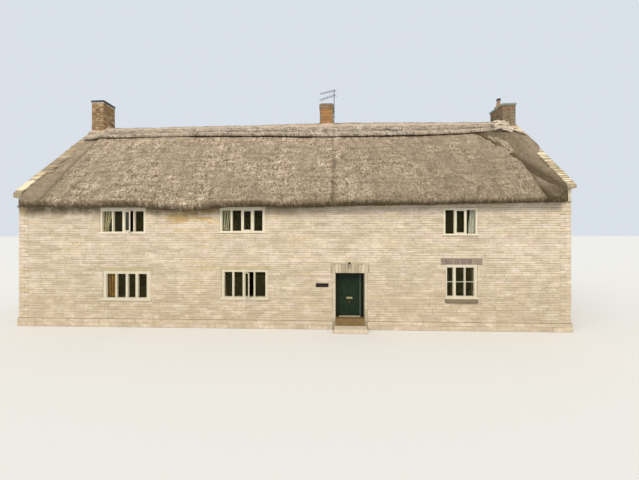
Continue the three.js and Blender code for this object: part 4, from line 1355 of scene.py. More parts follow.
MIDDLE = (1.36, 2.07, -0.43, 0.43)  # left, right, front and rear edge of the stack
brick_bands(MIDDLE, (
    ("middle_stack_bricks", 9.72, 10.83, 0.006, orange_brick, 151),
    ("middle_stack_corbels", 10.83, 11.06, 0.034, grey_brick, 152),
    ("middle_stack_crown", 11.055, 11.13, -0.034, grey_brick, 153),
))

# Smoke and damp have greyed the edges of this stack more than its middle.
across, middle = along_axis(orange_brick, 0), (MIDDLE[0] + MIDDLE[1]) / 2
from_middle = add(orange_brick, "Math", {0: across, 1: middle}, operation="SUBTRACT")
from_middle = add(orange_brick, "Math", {0: from_middle}, operation="ABSOLUTE")
greyed = add(orange_brick, "MapRange", {"Value": from_middle, 1: 0.17, 2: 0.3, 3: 0, 4: 0.65})
tint(orange_brick, greyed, "#7d705c")

# %% Right stack
RIGHT_FOOT = (10.95, 11.5997, -0.6, 0.54)
brick_bands(RIGHT_FOOT, (
    ("right_stack_bricks", 9.3, 10.56, 0.006, grey_brick, 154),
    ("right_stack_red_courses", 10.565, 10.64, 0.006, red_brick, 155),
    ("right_stack_upper_course", 10.64, 10.715, 0.006, grey_brick, 158),
    ("right_stack_top_course", 10.715, 10.79, 0.012, slab_shadow_brick, 156),
))

# %% Left stack
brown_rubble = stone_finish(
    "ironstone rubble, brown",
    bed=("#77604a", "#977757", "#b08e68", "#c6a981", "#9b8069"),
    stain="#6c6243", relief=0.012,
)
LEFT_FOOT = (-11.3597, -10.7, -0.43, 0.4)


def rubble_rows(low, high):
    """A function that gives the rubble of one face between two levels."""
    def rows(number, length, rng):
        stones = coursed(0, length, low, high, [], 160 + number, heights=(0.08, 0.17), lengths=(0.12, 0.32))
        return [(*stone[:4], rng.uniform(0.004, 0.02)) for stone in stones]
    return rows


rings_of(
    "left_stack_rubble", stack_faces(*LEFT_FOOT), rubble_rows(9.5, 11.37), brown_rubble, "wall_stone", 157,
    0.02, ROUGH_BLOCK,
)
finish_nodes(("left_chimney", "middle_chimney", "right_chimney"), mortar)

# %% [markdown]
# ## Caps, flaunching and pot
# A slab on a bed of mortar closes each outer stack, and a sloping fillet of mortar, called
# flaunching, sheds the rain where the stack leaves the thatch. A clay pot with a small metal cowl
# stands on the right-hand stack.

# %% Slabs on the stacks
slab_stone = stone_finish(
    "slate slab, lichen green",
    bed=("#6f7c76", "#7f8b85", "#949f97"),
    stain="#6f7768", drift=0.1,
)
dark_slab = stone_finish(
    "slate slab, blue black",
    bed=("#2b353b", "#36424a", "#445058"),
    stain="#505546", drift=0.1,
)
pale_mortar = stone_finish(
    "lime mortar fillet, pale",
    bed=("#c4ae9a", "#d3bda9", "#e0cbb8"),
    stain="#a08d7a", relief=0.006,
)
for name, node, corners, stone in (
    ("left_stack_slab", "left_chimney_cap", (-11.392, -0.462, 11.355, -10.668, 0.432, 11.47), dark_slab),
    ("right_stack_slab", "right_chimney_cap", (10.905, -0.645, 10.78, 11.645, 0.585, 10.89), slab_stone),
):
    piece = blocks(name, [corners], stone, 171, model=ROUGH_BLOCK, wander=0.012)
    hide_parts(node)
bed = [
    (-11.385, -0.455, 11.29, -10.675, -0.4, 11.36), (-11.385, 0.37, 11.29, -10.675, 0.425, 11.36),
    (-11.385, -0.455, 11.29, -11.32, 0.425, 11.36), (-10.74, -0.455, 11.29, -10.675, 0.425, 11.36),
]
blocks("left_slab_bedding", bed, pale_mortar, 172, model=ROUGH_BLOCK, wander=0.006)

# %% Mortar fillets at the foot of the stacks
# The fillet's cross-section: how far out from the stack, and how far above the saddle of thatch
FILLET = (
    (-0.02, 0.08), (0.01, 0.07), (0.03, 0.035), (0.05, 0.01), (0.07, -0.015), (0.04, -0.05), (-0.02, -0.05),
)


def fillet(name, x0, x1, y0, y1, size, seed):
    """A ring with the fillet's cross-section, led round the foot of a stack."""
    steps = 96
    bpy.ops.mesh.primitive_torus_add(major_segments=steps, minor_segments=len(FILLET))
    piece = named(name)
    angle = np.linspace(0, 2 * math.pi, steps, endpoint=False)
    across, along = np.cos(angle), np.sin(angle)
    reach = 1 / np.maximum(abs(across), abs(along))
    half_x, half_y = (x1 - x0) / 2, (y1 - y0) / 2
    corners = np.zeros((steps, len(FILLET), 3))
    wobble = lumps(angle, angle * 0, 0.35, 1, seed)
    for i, (out, up) in enumerate(FILLET):
        out, up = out * (1 + 0.25 * wobble), up * size * (1 + 0.2 * wobble)
        corners[:, i, 0] = (x0 + x1) / 2 + across * reach * (half_x + out)
        corners[:, i, 1] = (y0 + y1) / 2 + along * reach * (half_y + out)
        corners[:, i, 2] = saddle_top(corners[:, i, 0], corners[:, i, 1]) + up
    piece.data.vertices.foreach_set("co", corners.ravel())
    edit()
    turn_faces_outwards()
    edit("OBJECT")
    piece.data.polygons.foreach_set("use_smooth", [True] * len(piece.data.polygons))
    return finish_piece(piece, pale_mortar)


fillet("left_stack_fillet", *LEFT_FOOT, 1, 181)
fillet("middle_stack_fillet", *MIDDLE, 2.2, 182)
fillet("right_stack_fillet", *RIGHT_FOOT, 1, 183)

# %% Loose slabs at the foot of the right stack
bleached_stone = stone_finish(
    "limestone slab, bleached",
    bed=("#cbbba4", "#e2d3bd", "#f3e6d3"),
    stain="#a3927a", drift=0.1, relief=0.006,
)


def piled_slabs(name, seed):
    """Thin flat stones heaped in layers against the front of the stack, and small ones that trail
    from the heap down to the coping."""
    rng = np.random.default_rng(seed)
    places = []
    for layer in range(4):
        for share in np.linspace(0, 1, 4)[:4 - layer // 2]:
            x = 10.58 + 0.62 * share + rng.uniform(-0.04, 0.04)
            fall = 0.2 * abs(share - 0.18) ** 1.6
            size = (rng.uniform(0.28, 0.42), rng.uniform(0.16, 0.22), rng.uniform(0.07, 0.1))
            y, z = -0.68 - 0.03 * (3 - layer), 9.54 + 0.125 * layer - fall
            places.append((x, y, z, size, 24 * (share - 0.2)))
    for share in np.linspace(0, 1, 6):
        size = (rng.uniform(0.14, 0.24), rng.uniform(0.12, 0.2), rng.uniform(0.06, 0.09))
        out = 0.72 + 0.32 * share
        place = (11.42 + 0.4 * share, -out, COPINGS[1][0] - COPINGS[1][1] * out + 0.14)
        places.append((*place, size, 40))
    shapes = []
    for x, y, z, size, slope in places:
        turn = Matrix.Rotation(math.radians(slope + rng.uniform(-12, 12)), 3, "Y")
        lean = Matrix.Rotation(math.radians(rng.uniform(5, 25)), 3, "X")
        corners = (ROUGH_BLOCK[0] + rng.uniform(-0.05, 0.05, ROUGH_BLOCK[0].shape)) * size
        shapes.append(corners @ np.array(turn @ lean).T + (x, y, z))
    tones = rng.uniform(0, 1, len(shapes))
    return copies(name, ROUGH_BLOCK, np.array(shapes), bleached_stone, tones)


piled_slabs("loose_coping_slabs", 184)

# %% Turned pieces
def turned(name, rings, centre, material, body="house"):
    """A round piece with an upright axis, drawn up ring by ring; a ring is a radius and a height."""
    bpy.ops.mesh.primitive_circle_add(vertices=32, radius=rings[0][0], fill_type="NGON")
    piece = named(name)
    edit()
    bpy.ops.mesh.select_all(action="SELECT")
    for (radius, height), (next_radius, next_height) in zip(rings, rings[1:]):
        bpy.ops.mesh.extrude_region_move(TRANSFORM_OT_translate={"value": (0, 0, next_height - height)})
        share = next_radius / radius
        bpy.ops.transform.resize(value=(share, share, 1))
    turn_faces_outwards()
    edit("OBJECT")
    bpy.ops.object.shade_smooth_by_angle(angle=math.radians(35))
    piece.data.transform(Matrix.Translation(centre))
    return finish_piece(piece, material, body)


# %% Chimney pot and cowl
brown_mortar = stone_finish(
    "lime mortar fillet, stained orange brown",
    bed=("#9a7850", "#ad885c", "#bd986b"),
    stain="#86663f", relief=0.006,
)
terracotta = brick_finish(
    "terracotta, weathered",
    bed=("#a2857a", "#af9084", "#bb9c8f"),
    soot="#846f66",
)
height = along_axis(terracotta, 2)
near_foot = add(terracotta, "MapRange", {"Value": height, 1: 11.1, 2: 11.25, 3: 0.75, 4: 0})
tint(terracotta, near_foot, "#a97a4c")
galvanised = new_material("steel, galvanised and dull", {
    "Metallic": 1.0, "Roughness": 0.5, "Base Color": "#5b646b",
})
dark_iron = new_material("iron, blackened", {"Metallic": 0.7, "Roughness": 0.55, "Base Color": "#2b2a29"})
POT_AXIS = (11.14, 0.1, 10.8605)
pot = turned(
    "chimney_pot",
    ((0.135, 0), (0.135, 0.05), (0.126, 0.062), (0.116, 0.09), (0.085, 0.40), (0.09, 0.425), (0.097, 0.435),
     (0.098, 0.472), (0.092, 0.482), (0.078, 0.478), (0.075, 0.4), (0.075, 0.06)),
    POT_AXIS, terracotta,
)
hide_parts("right_chimney_pot")
turned(
    "pot_flaunching",
    ((0.235, 0), (0.225, 0.04), (0.19, 0.12), (0.15, 0.17), (0.12, 0.18)),
    POT_AXIS, brown_mortar,
)
COWL_AXIS = (POT_AXIS[0], POT_AXIS[1], POT_AXIS[2] + 0.465)
turned(
    "cowl_ring",
    ((0.074, -0.02), (0.074, 0.02), (0.1, 0.03), (0.102, 0.08), (0.09, 0.08), (0.07, -0.02)),
    COWL_AXIS, dark_iron,
)
turned(
    "cowl_lid",
    ((0.104, 0.088), (0.108, 0.095), (0.1, 0.13), (0.075, 0.15), (0.03, 0.16), (0.01, 0.162)),
    COWL_AXIS, dark_iron,
)

# %% Rods
bpy.ops.mesh.primitive_cylinder_add(vertices=8, radius=1, depth=1)
rod = bpy.context.object
edit()
bpy.ops.mesh.select_all(action="SELECT")
bpy.ops.mesh.inset(thickness=0.25, use_select_inset=False)
edit("OBJECT")
ROD = take_model(rod)


def rods(name, ends, radius, material, body="house"):
    """Thin round rods; each is given by its two ends."""
    ends = np.array(ends, dtype=float)
    start, finish = ends[:, :3], ends[:, 3:]
    axis = finish - start
    length = np.linalg.norm(axis, axis=1, keepdims=True)
    axis = axis / length
    helper = np.where(abs(axis[:, 2:]) > 0.9, (1.0, 0, 0), (0, 0, 1.0))
    side = np.cross(axis, helper)
    side /= np.linalg.norm(side, axis=1, keepdims=True)
    third = np.cross(axis, side)
    corners = ROD[0]
    shapes = (
        (start + finish)[:, None] / 2
        + corners[None, :, 0, None] * radius * side[:, None]
        + corners[None, :, 1, None] * radius * third[:, None]
        + corners[None, :, 2, None] * length[:, None] * axis[:, None]
    )
    return copies(name, ROD, shapes, material, np.full(len(ends), 0.5), body)


COWL_BARS = 10
turn = np.linspace(0, 2 * math.pi, COWL_BARS, endpoint=False)
x, y = COWL_AXIS[0] + 0.096 * np.cos(turn), COWL_AXIS[1] + 0.096 * np.sin(turn)
low, high = np.full(COWL_BARS, COWL_AXIS[2] + 0.025), np.full(COWL_BARS, COWL_AXIS[2] + 0.09)
rods("cowl_bars", np.column_stack((x, y, low, x, y, high)), 0.004, dark_iron)

# %% [markdown]
# ## Aerial
# A steel mast is clamped to the middle stack and carries two booms. Each boom holds a row of
# short rods across it, the elements, which get shorter towards its tip.

# %% Elements on the booms
elements = []
for tail, tip, count, half in (
    ((2.2, -0.17, 11.92), (1.37, 0.19, 11.92), 9, 0.17),
    ((2.2, -0.2, 11.66), (1.34, 0.4, 11.66), 8, 0.2),
):
    boom = np.subtract(tip, tail)
    across = np.cross(boom / np.linalg.norm(boom), (0, 0, 1))
    for i in range(count):
        place = np.add(tail, boom * (0.02 + 0.95 * i / (count - 1)))
        reach = across * half * (1 - 0.35 * i / (count - 1))
        elements.append((*(place - reach), *(place + reach)))
rods("aerial_elements", elements, 0.009, galvanised)
rods(
    "aerial_clamps",
    [(2.09, -0.15, z, 2.165, -0.15, z) for z in (10.46, 10.5, 10.74, 10.78, 11.66, 11.92)],
    0.016, galvanised,
)
rods(
    "aerial_lead",
    [(2.15, -0.17, 10.45, 2.12, -0.27, 10.35), (2.12, -0.27, 10.35, 2.11, -0.29, 9.94)],
    0.02, galvanised,
)
finish_nodes(("tv_aerial",), galvanised)

# %% [markdown]
# ## Windows
# The windows are casements of painted timber, set almost flush with the wall: a frame with a
# sill that stands out and has horns beyond the opening, upright bars called mullions, and a sheet
# of glass in each light. Some lights are sashes on hinges, and two of these stand open. Every
# member is a planed timber with its edges eased, so one such timber is modelled and used for all.

# %% A planed timber and its paint
TIMBER = eased_block(0.004)


def paint_finish(name, colour, worn, roughness=0.45, gloss=0.5):
    """Oil paint on timber, a little uneven and dusty."""
    material = new_material(name, {"Roughness": roughness, "Specular IOR Level": gloss})
    place = add(material, "TexCoord", out="Object")
    cloud = add(material, "TexNoise", {"Vector": place, "Scale": 4, "Detail": 6})
    dusty = add(material, "MapRange", {"Value": cloud, 1: 0.4, 2: 0.75, 3: 0, 4: 0.7})
    painted = add(material, "Mix", {0: dusty, 6: colour, 7: worn}, 2, data_type="RGBA")
    brush = add(material, "TexNoise", {"Vector": place, "Scale": 90, "Detail": 2})
    shade(material, {"Base Color": painted})
    roughen(material, (brush, 0.0006))
    return material


cream_paint = paint_finish("oil paint on timber, cream", "#ddd3bc", "#cabd9e")
# The heads of the upper windows are darkened as painted shade of the eave, with some stain, and the lower
# windows are darkened as painted shade of the plants in front of them.
height = along_axis(cream_paint, 2)
eave_shade_and_stain = add(cream_paint, "MapRange", {"Value": height, 1: 5.1, 2: 5.2, 3: 0, 4: 0.2})
tint(cream_paint, eave_shade_and_stain, "#9a8a55")
plant_shade_on_lower_windows = add(cream_paint, "MapRange", {"Value": height, 1: 3.2, 2: 3, 3: 0, 4: 0.3})
tint(cream_paint, plant_shade_on_lower_windows, "#958f74")
# The lintel boards' paint is yellowed, and darkened further as painted shade of the leaves before them.
yellowed_shaded_board = paint_finish("oil paint on timber, yellowed and darkened as painted shade", "#b9aa85", "#9e8f6c", roughness=0.7)
# The low index keeps the bright studio sky from lying on the panes like a veil.
window_glass = new_material("window glass, float", {
    "Base Color": "#eff4f0", "Roughness": 0.02, "IOR": 1.15, "Transmission Weight": 1.0,
})
dust = add(window_glass, "BsdfDiffuse", {"Color": "#d8c859"})
bare_glass = window_glass.node_tree.nodes["Principled BSDF"].outputs[0]
filmed = add(window_glass, "MixShader", {0: 0.014, 1: bare_glass, 2: dust})
surface = window_glass.node_tree.nodes["Material Output"].inputs["Surface"]
set_or_link(window_glass.node_tree, surface, filmed)
# The rear panes are tinted dark: painted shade of the rooms behind them.
dark_tinted_glass = new_material("window glass, tinted dark as painted shade of the rooms", {
    "Base Color": "#303833", "Roughness": 0.05, "IOR": 1.15, "Transmission Weight": 1.0,
})

# %% Lights of a window
# The left and right edge of each light, as measured on the front
LIGHTS = {
    "upper_left": ((-8.098, -7.655), (-7.592, -7.185), (-7.1, -6.7), (-6.639, -6.237)),
    "upper_middle": ((-2.779, -2.402), (-2.329, -1.932), (-1.858, -1.469), (-1.391, -1.008)),
    "upper_right": ((6.744, 7.12), (7.165, 7.564), (7.621, 8.003)),
    "lower_left": ((-7.904, -7.506), (-7.434, -7.039), (-6.938, -6.6), (-6.488, -6.099)),
    "lower_middle": ((-2.669, -2.323), (-2.25, -1.869), (-1.792, -1.395), (-1.334, -0.88)),
    "lower_right": ((6.815, 7.068), (7.175, 7.53), (7.58, 7.934)),
}
# The light with a closed sash, heights of the head and the foot, and how far the sill's lower
# edge lies below the opening
DETAILS = {
    "upper_left": (None, 0.15, 0.06, 0.025),
    "upper_middle": (2, 0.155, 0.06, 0.023),
    "upper_right": (1, 0.075, 0.11, -0.045),
    "lower_left": (None, 0.14, 0.06, 0.05),
    "lower_middle": (None, 0.12, 0.06, 0.055),
    "lower_right": (None, 0.13, 0.15, -0.04),
}
FRAME_FACE, FRAME_INNER = -3.69, -3.6005


def lights_of(name):
    """Left, right, bottom and top of each light of a window on the front."""
    _, _, low, high = WINDOWS[name]
    _, head, foot, _ = DETAILS[name]
    return [(left, right, low + foot, high - head) for left, right in LIGHTS[name]]


def sash(left, right, low, high, stile=0.04, rail=0.055, front=FRAME_FACE - 0.006, depth=0.04):
    """The four timbers of a sash that fills a light."""
    back = front + depth
    left, right, low, high = left + 0.003, right - 0.003, low + 0.003, high - 0.003
    return [
        (left, front, low, left + stile, back, high),
        (right - stile, front, low, right, back, high),
        (left + stile - 0.004, front + 0.001, low, right - stile + 0.004, back, low + rail),
        (left + stile - 0.004, front + 0.001, high - stile, right - stile + 0.004, back, high),
    ]


def bead(left, right, low, high, width=0.01):
    """The thin glazing beads round a fixed pane."""
    front, back = -3.645, FRAME_INNER - 0.001
    return [
        (left, front, low, left + width, back, high),
        (right - width, front, low, right, back, high),
        (left, front, low, right, back, low + width),
        (left, front, high - width, right, back, high),
    ]


# %% Frames
def frame_timbers(name):
    """The timbers of a window's frame, with its beads or its closed sash."""
    left, right, low, high = WINDOWS[name]
    closed, _, _, below = DETAILS[name]
    lights = lights_of(name)
    foot, top = lights[0][2:]
    timbers = [
        (left + 0.001, FRAME_FACE, low + 0.02, lights[0][0], FRAME_INNER, high - 0.001),
        (lights[-1][1], FRAME_FACE, low + 0.02, right - 0.001, FRAME_INNER, high - 0.001),
        (left + 0.002, FRAME_FACE - 0.001, top, right - 0.002, FRAME_INNER, high - 0.002),
        (left - 0.04, -3.75, low - below + 0.001, right + 0.04, -3.702, low - min(below, 0) + 0.045),
        (left + 0.001, -3.71, low + 0.001, right - 0.001, FRAME_INNER, foot),
    ]
    timbers += [(a[1], FRAME_FACE + 0.001, low + 0.05, b[0], FRAME_INNER, top + 0.005)
                for a, b in zip(lights, lights[1:])]
    for number, light in enumerate(lights):
        timbers += sash(*light) if number == closed else bead(*light)
        if name == "lower_right":
            middle = (light[2] + light[3]) / 2
            timbers.append((light[0], -3.672, middle - 0.013, light[1], -3.64, middle + 0.013))
    return timbers


OPEN_LIGHT = 2  # the third light from the left
OPEN_CASEMENTS = {"upper_left": 26, "lower_middle": 48}  # how far they stand open, in degrees
for name in WINDOWS:
    timbers = frame_timbers(name)
    piece = blocks(f"{name}_joinery", timbers, cream_paint, 201, model=TIMBER, wander=0)
    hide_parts(f"{name}_window_frame")
    if name in OPEN_CASEMENTS:
        timbers = timbers + sash(*lights_of(name)[OPEN_LIGHT])
    rear = to_rear(timbers)
    piece = blocks(f"rear_{name}_joinery", rear, cream_paint, 202, model=TIMBER, wander=0)
    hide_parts(f"rear_{name}_window_frame")

# %% Sill bedding and lintel boards
left, right, low, _ = WINDOWS["upper_right"]
sill_stone = [(left - 0.02, -3.722, low + 0.002, right + 0.02, -3.7105, low + 0.043)]
blocks("front_sill_bedding", sill_stone, lias, 207)
blocks("rear_sill_bedding", to_rear(sill_stone), lias, 208)
boards = [(left, -3.713, low + 0.002, right, -3.6, high - 0.002) for left, right, low, high in LINTELS]
for name, boxes, seed in (("front_lintel_boards", boards, 203), ("rear_lintel_boards", to_rear(boards), 204)):
    blocks(name, boxes, yellowed_shaded_board, seed, model=TIMBER, wander=0.001)

# %% [markdown]
# ## Open casements and glass
# An open casement turns on hinges at the left edge of its light and swings outwards. It is put
# together in its closed place and then turned about the line of the hinges.

# %% Casements that stand open
PANE = 0.006  # thickness of the glass
SHEET_OF_GLASS = eased_block(0.001)

for name, angle in OPEN_CASEMENTS.items():
    left, right, low, high = lights_of(name)[OPEN_LIGHT]
    closed = sash(left, right, low, high, front=FRAME_FACE)
    hinge = Matrix.Translation((left, FRAME_FACE, 0))
    swing = hinge @ Matrix.Rotation(math.radians(-angle), 4, "Z") @ hinge.inverted()
    casement = blocks(f"{name}_casement", closed, cream_paint, 205, model=TIMBER, wander=0)
    middle = FRAME_FACE + 0.02
    glazing = [(left + 0.043, middle - PANE / 2, low + 0.053, right - 0.043, middle + PANE / 2, high - 0.043)]
    glass = blocks(
        f"{name}_casement_pane", glazing, window_glass, 206, model=SHEET_OF_GLASS, wander=0,
    )
    for piece in (casement, glass):
        piece.data.transform(swing)
    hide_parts(f"{name}_open_casement")
    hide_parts(f"{name}_open_casement")

# %% Iron stays and the glass sheets
stays = []
for name, angle in OPEN_CASEMENTS.items():
    left, right, low, _ = lights_of(name)[OPEN_LIGHT]
    turn = math.radians(-angle)
    reach = right - left - 0.06
    tip = (left + reach * math.cos(turn), FRAME_FACE + reach * math.sin(turn))
    stays.append((right - 0.05, -3.66, low + 0.03, *tip, low + 0.03))
rods("casement_stays", stays, 0.005, dark_iron)

sheets = [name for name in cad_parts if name.endswith("_glass")]
finish_nodes([name for name in sheets if name.startswith("rear")], dark_tinted_glass)
finish_nodes([name for name in sheets if not name.startswith("rear")], window_glass)

# %% [markdown]
# ## Curtains
# A curtain is cut much wider than the place it covers, and the spare width falls into folds.
# Here a flat grid is folded into waves: its width is measured along the waves, and its height is
# the drop from the head of the window. Where a curtain is tied back, its free edge slants in.

# %% Folded cloth
def cloth_finish(name, colour, shade_colour):
    """Woven cloth, with painted shade where its folds lie deep, a little uneven."""
    material = new_material(name, {"Roughness": 0.95, "Sheen Weight": 0.2, "Specular IOR Level": 0.2})
    place = add(material, "TexCoord", out="Object")
    weave = add(material, "TexNoise", {"Vector": place, "Scale": 400, "Detail": 1})
    cloud = add(material, "TexNoise", {"Vector": place, "Scale": 5, "Detail": 3})
    deep = add(material, "Attribute", out="Fac", attribute_name="tone")
    uneven = add(material, "Math", {0: cloud, 1: 0.5, 2: -0.25}, operation="MULTIPLY_ADD")
    shaded = add(material, "Math", {0: deep, 1: uneven}, operation="ADD", use_clamp=True)
    cloth_with_fold_shade = add(material, "Mix", {0: shaded, 6: colour, 7: shade_colour}, 2, data_type="RGBA")
    shade(material, {"Base Color": cloth_with_fold_shade})
    roughen(material, (weave, 0.0004))
    return material


FOLD_DEPTH = 0.03  # half the depth of a fold
FOLD_PITCH = 0.12  # from one fold to the next
CLOTH_MIDDLE = -3.535  # the middle of the folds, behind the panes


def curtain(name, edge, direction, top_width, hem_width, low, high, material):
    """Cloth in folds from a jamb at edge; direction is 1 where it reaches to the right."""
    columns, rows = 121, 31
    bpy.ops.mesh.primitive_grid_add(x_subdivisions=columns - 1, y_subdivisions=rows - 1, size=1)
    cloth = named(name)
    across = np.linspace(0, 1, columns)[None, :]
    height = np.linspace(low, high, rows)[:, None]
    share = (high - height) / (high - low)
    width = top_width + (hem_width - top_width) * np.clip(share * 1.3, 0, 1) ** 1.2
    folds = top_width / FOLD_PITCH
    drawn = 0.9 * np.sin(3 * share) + 0.8 * np.sin(5 * across + 2 * share)
    wave = np.sin(2 * math.pi * folds * across + drawn)
    deep = FOLD_DEPTH * (0.75 + 0.25 * share) * np.sqrt(top_width / width).clip(0.8, 1.3)
    x = edge + direction * (0.012 + across * (width - 0.02))
    y = CLOTH_MIDDLE + deep * wave + 0 * x
    corners = np.stack((x, y, height + 0 * x), axis=-1)
    cloth.data.vertices.foreach_set("co", corners.ravel())
    # Painted shade, darkest at the back of each fold.
    tones = 0.5 + 0.5 * wave + 0 * y
    cloth.data.attributes.new("tone", "FLOAT", "POINT").data.foreach_set("value", tones.ravel())
    row = corners[rows - 1]
    flat_width = np.linalg.norm(np.diff(row, axis=0), axis=1).sum()
    steps = np.diff(corners, axis=1)[:-1], np.diff(corners, axis=0)[:, :-1]
    area = np.linalg.norm(np.cross(*steps), axis=-1).sum()
    cloth.data.polygons.foreach_set("use_smooth", [True] * len(cloth.data.polygons))
    thicken = cloth.modifiers.new("cloth", "SOLIDIFY")
    thicken.thickness = 0.0015
    bpy.ops.object.modifier_apply(modifier="cloth")
    finish_piece(cloth, material)
    flat_width = max(flat_width, area / (high - low))
    area = min(area, flat_width * (high - low))
    print(name, "flat", round(flat_width, 2), "x", round(high - low, 2), "m, area", round(area, 2))
    return cloth


beige_cloth = cloth_finish("linen, pale beige", "#f2dfb4", "#54462a")
sheer_cloth = cloth_finish("cotton net, off white", "#e6d9b6", "#504832")
grey_cloth = cloth_finish("cotton, grey white", "#e4dccb", "#cac2b1")
brown_cloth = cloth_finish("wool, orange brown", "#b57c30", "#4e3413")
for name, jamb, top_width, hem_width, material in (
    ("upper_left", "left", 0.49, 0.3, beige_cloth),
    ("upper_middle", "left", 0.47, 0.36, sheer_cloth),
    ("upper_right", "right", 0.25, 0.33, grey_cloth),
    ("lower_left", "left", 0.49, 0.47, brown_cloth),
):
    left, right, low, high = WINDOWS[name]
    edge, direction = (left, 1) if jamb == "left" else (right, -1)
    cloth = curtain(f"{name}_cloth", edge, direction, top_width, hem_width, low + 0.09, high - 0.02, material)
    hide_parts(f"{name}_curtain")

# %% [markdown]
# ## Front door
# The door is of timber, painted a very dark green: a leaf with six sunk panels in a frame with a
# head and two posts. Panels are cut as a joiner would set them out: the face of the leaf is
# divided along the stiles and rails, and each panel is set in and pushed back behind a small
# moulding.

# %% The leaf, divided into stiles, rails and panels
LEAF_LOW = Vector((2.285, -3.296, 0.47))
LEAF_HIGH = Vector((3.205, -3.25, 2.3))
STILES = (2.395, 2.7, 2.79, 3.095)
RAILS = (0.67, 1.12, 1.32, 1.83, 1.93, 2.18)

PANEL_COLUMNS = ((STILES[0], STILES[1]), (STILES[2], STILES[3]))
PANEL_ROWS = ((RAILS[0], RAILS[1]), (RAILS[2], RAILS[3]), (RAILS[4], RAILS[5]))


def is_panel(face):
    """Whether a face of the leaf lies between stiles and rails, on either side of the door."""
    centre = face.calc_center_median()
    in_column = any(a < centre.x < b for a, b in PANEL_COLUMNS)
    return abs(face.normal.y) > 0.9 and in_column and any(a < centre.z < b for a, b in PANEL_ROWS)


bpy.ops.mesh.primitive_cube_add(size=1)
leaf = named("front_door_leaf")
middle, size = (LEAF_LOW + LEAF_HIGH) / 2, LEAF_HIGH - LEAF_LOW
leaf.data.transform(Matrix.Translation(middle) @ Matrix.Diagonal((*size, 1)))
edit()
cuts = [((x, 0, 0), (1, 0, 0)) for x in STILES] + [((0, 0, z), (0, 0, 1)) for z in RAILS]
for place, normal in cuts:
    bpy.ops.mesh.select_all(action="SELECT")
    bpy.ops.mesh.bisect(plane_co=place, plane_no=normal)
select_faces(leaf, is_panel)
for thickness, depth in ((0.012, -0.012), (0.004, 0.0), (0.03, 0.006)):
    bpy.ops.mesh.inset(thickness=thickness, depth=depth, use_individual=True)
edit("OBJECT")
door_paint = paint_finish(
    "oil paint on timber, dark green", "#1b2a1b", "#253325", roughness=0.35, gloss=0.12,
)
frame_paint = paint_finish(
    "oil paint on timber, green black", "#181d13", "#25291d", roughness=0.5, gloss=0.12,
)
finish_piece(leaf, door_paint, "front_door")
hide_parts("front_door")

# %% Hinges and the weather bar
HINGE_PIN = (2.2825, -3.242)
HINGE_LEVELS = (0.7, 1.385, 2.07)
blocks(
    "hinge_plates",
    [(2.2835, -3.2505, z - 0.05, 2.32, -3.2465, z + 0.05) for z in HINGE_LEVELS],
    dark_iron, 211, model=SHEET_OF_GLASS, wander=0, body="front_door",
)
knuckles = [(*HINGE_PIN, z - 0.05, *HINGE_PIN, z + 0.05) for z in HINGE_LEVELS]
rods("hinge_knuckles", knuckles, 0.008, dark_iron, body="front_door")
blocks(
    "door_weather_bar",
    [(2.3, -3.304, 0.482, 3.19, -3.295, 0.524)],
    door_paint, 212, model=TIMBER, wander=0, body="front_door",
)

# %% Letter plate and knob
brass = new_material("brass, polished", {"Metallic": 1.0, "Roughness": 0.35, "Base Color": "#a89f78"})
dull_brass = new_material("brass, tarnished", {"Metallic": 1.0, "Roughness": 0.5, "Base Color": "#6e5a33"})


def plate(name, middle, size, edge, insets, material, body="house"):
    """A plate that faces the front: its edges are eased, then its face is inset step by step."""
    bpy.ops.mesh.primitive_cube_add(size=1)
    piece = named(name)
    piece.data.transform(Matrix.Translation(middle) @ Matrix.Diagonal((*size, 1)))
    edit()
    bpy.ops.mesh.bevel(offset=edge, affect="EDGES", segments=2)
    select_faces(piece, lambda face: face.normal.y < -0.99)
    for thickness, depth in insets:
        bpy.ops.mesh.inset(thickness=thickness, depth=depth)
    edit("OBJECT")
    return finish_piece(piece, material, body)


letter_plate = plate(
    "letter_plate_brass", (2.745, -3.3013, 1.2475), (0.26, 0.01, 0.085), 0.003,
    ((0.014, 0.0), (0.002, -0.003), (0.003, 0.002)), brass, "front_door",
)
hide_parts("letter_plate")


def turned_outwards(name, rings, centre, material, body):
    """A turned piece whose axis points out of the front wall."""
    piece = turned(name, rings, (0, 0, 0), material, body=body)
    piece.data.transform(Matrix.Translation(centre) @ Matrix.Rotation(math.radians(90), 4, "X"))
    return piece


knob = turned_outwards(
    "door_knob_brass",
    ((0.032, 0), (0.032, 0.004), (0.028, 0.007), (0.013, 0.01), (0.011, 0.028), (0.02, 0.034),
     (0.028, 0.041), (0.029, 0.049), (0.023, 0.057), (0.012, 0.0597)),
    (2.745, -3.2963, 1.06), dull_brass, "front_door",
)
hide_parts("door_knob")

# %% Door frame
FRAME_Y = (-3.37, -3.2503)
posts = [
    (2.1303, FRAME_Y[0], 0.4503, 2.2795, FRAME_Y[1], 2.3997),
    (3.2105, FRAME_Y[0], 0.4503, 3.3597, FRAME_Y[1], 2.3997),
    (2.279, FRAME_Y[0] + 0.0005, 2.3055, 3.211, FRAME_Y[1], 2.3992),
    (2.279, FRAME_Y[0] + 0.002, 0.4503, 2.2945, -3.3015, 2.306),
    (3.1955, FRAME_Y[0] + 0.002, 0.4503, 3.211, -3.3015, 2.306),
    (2.29, FRAME_Y[0] + 0.0025, 2.2905, 3.2, -3.3015, 2.306),
]
door_frame = blocks("door_frame_timbers", posts, frame_paint, 213, model=TIMBER, wander=0)
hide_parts("front_door_frame")
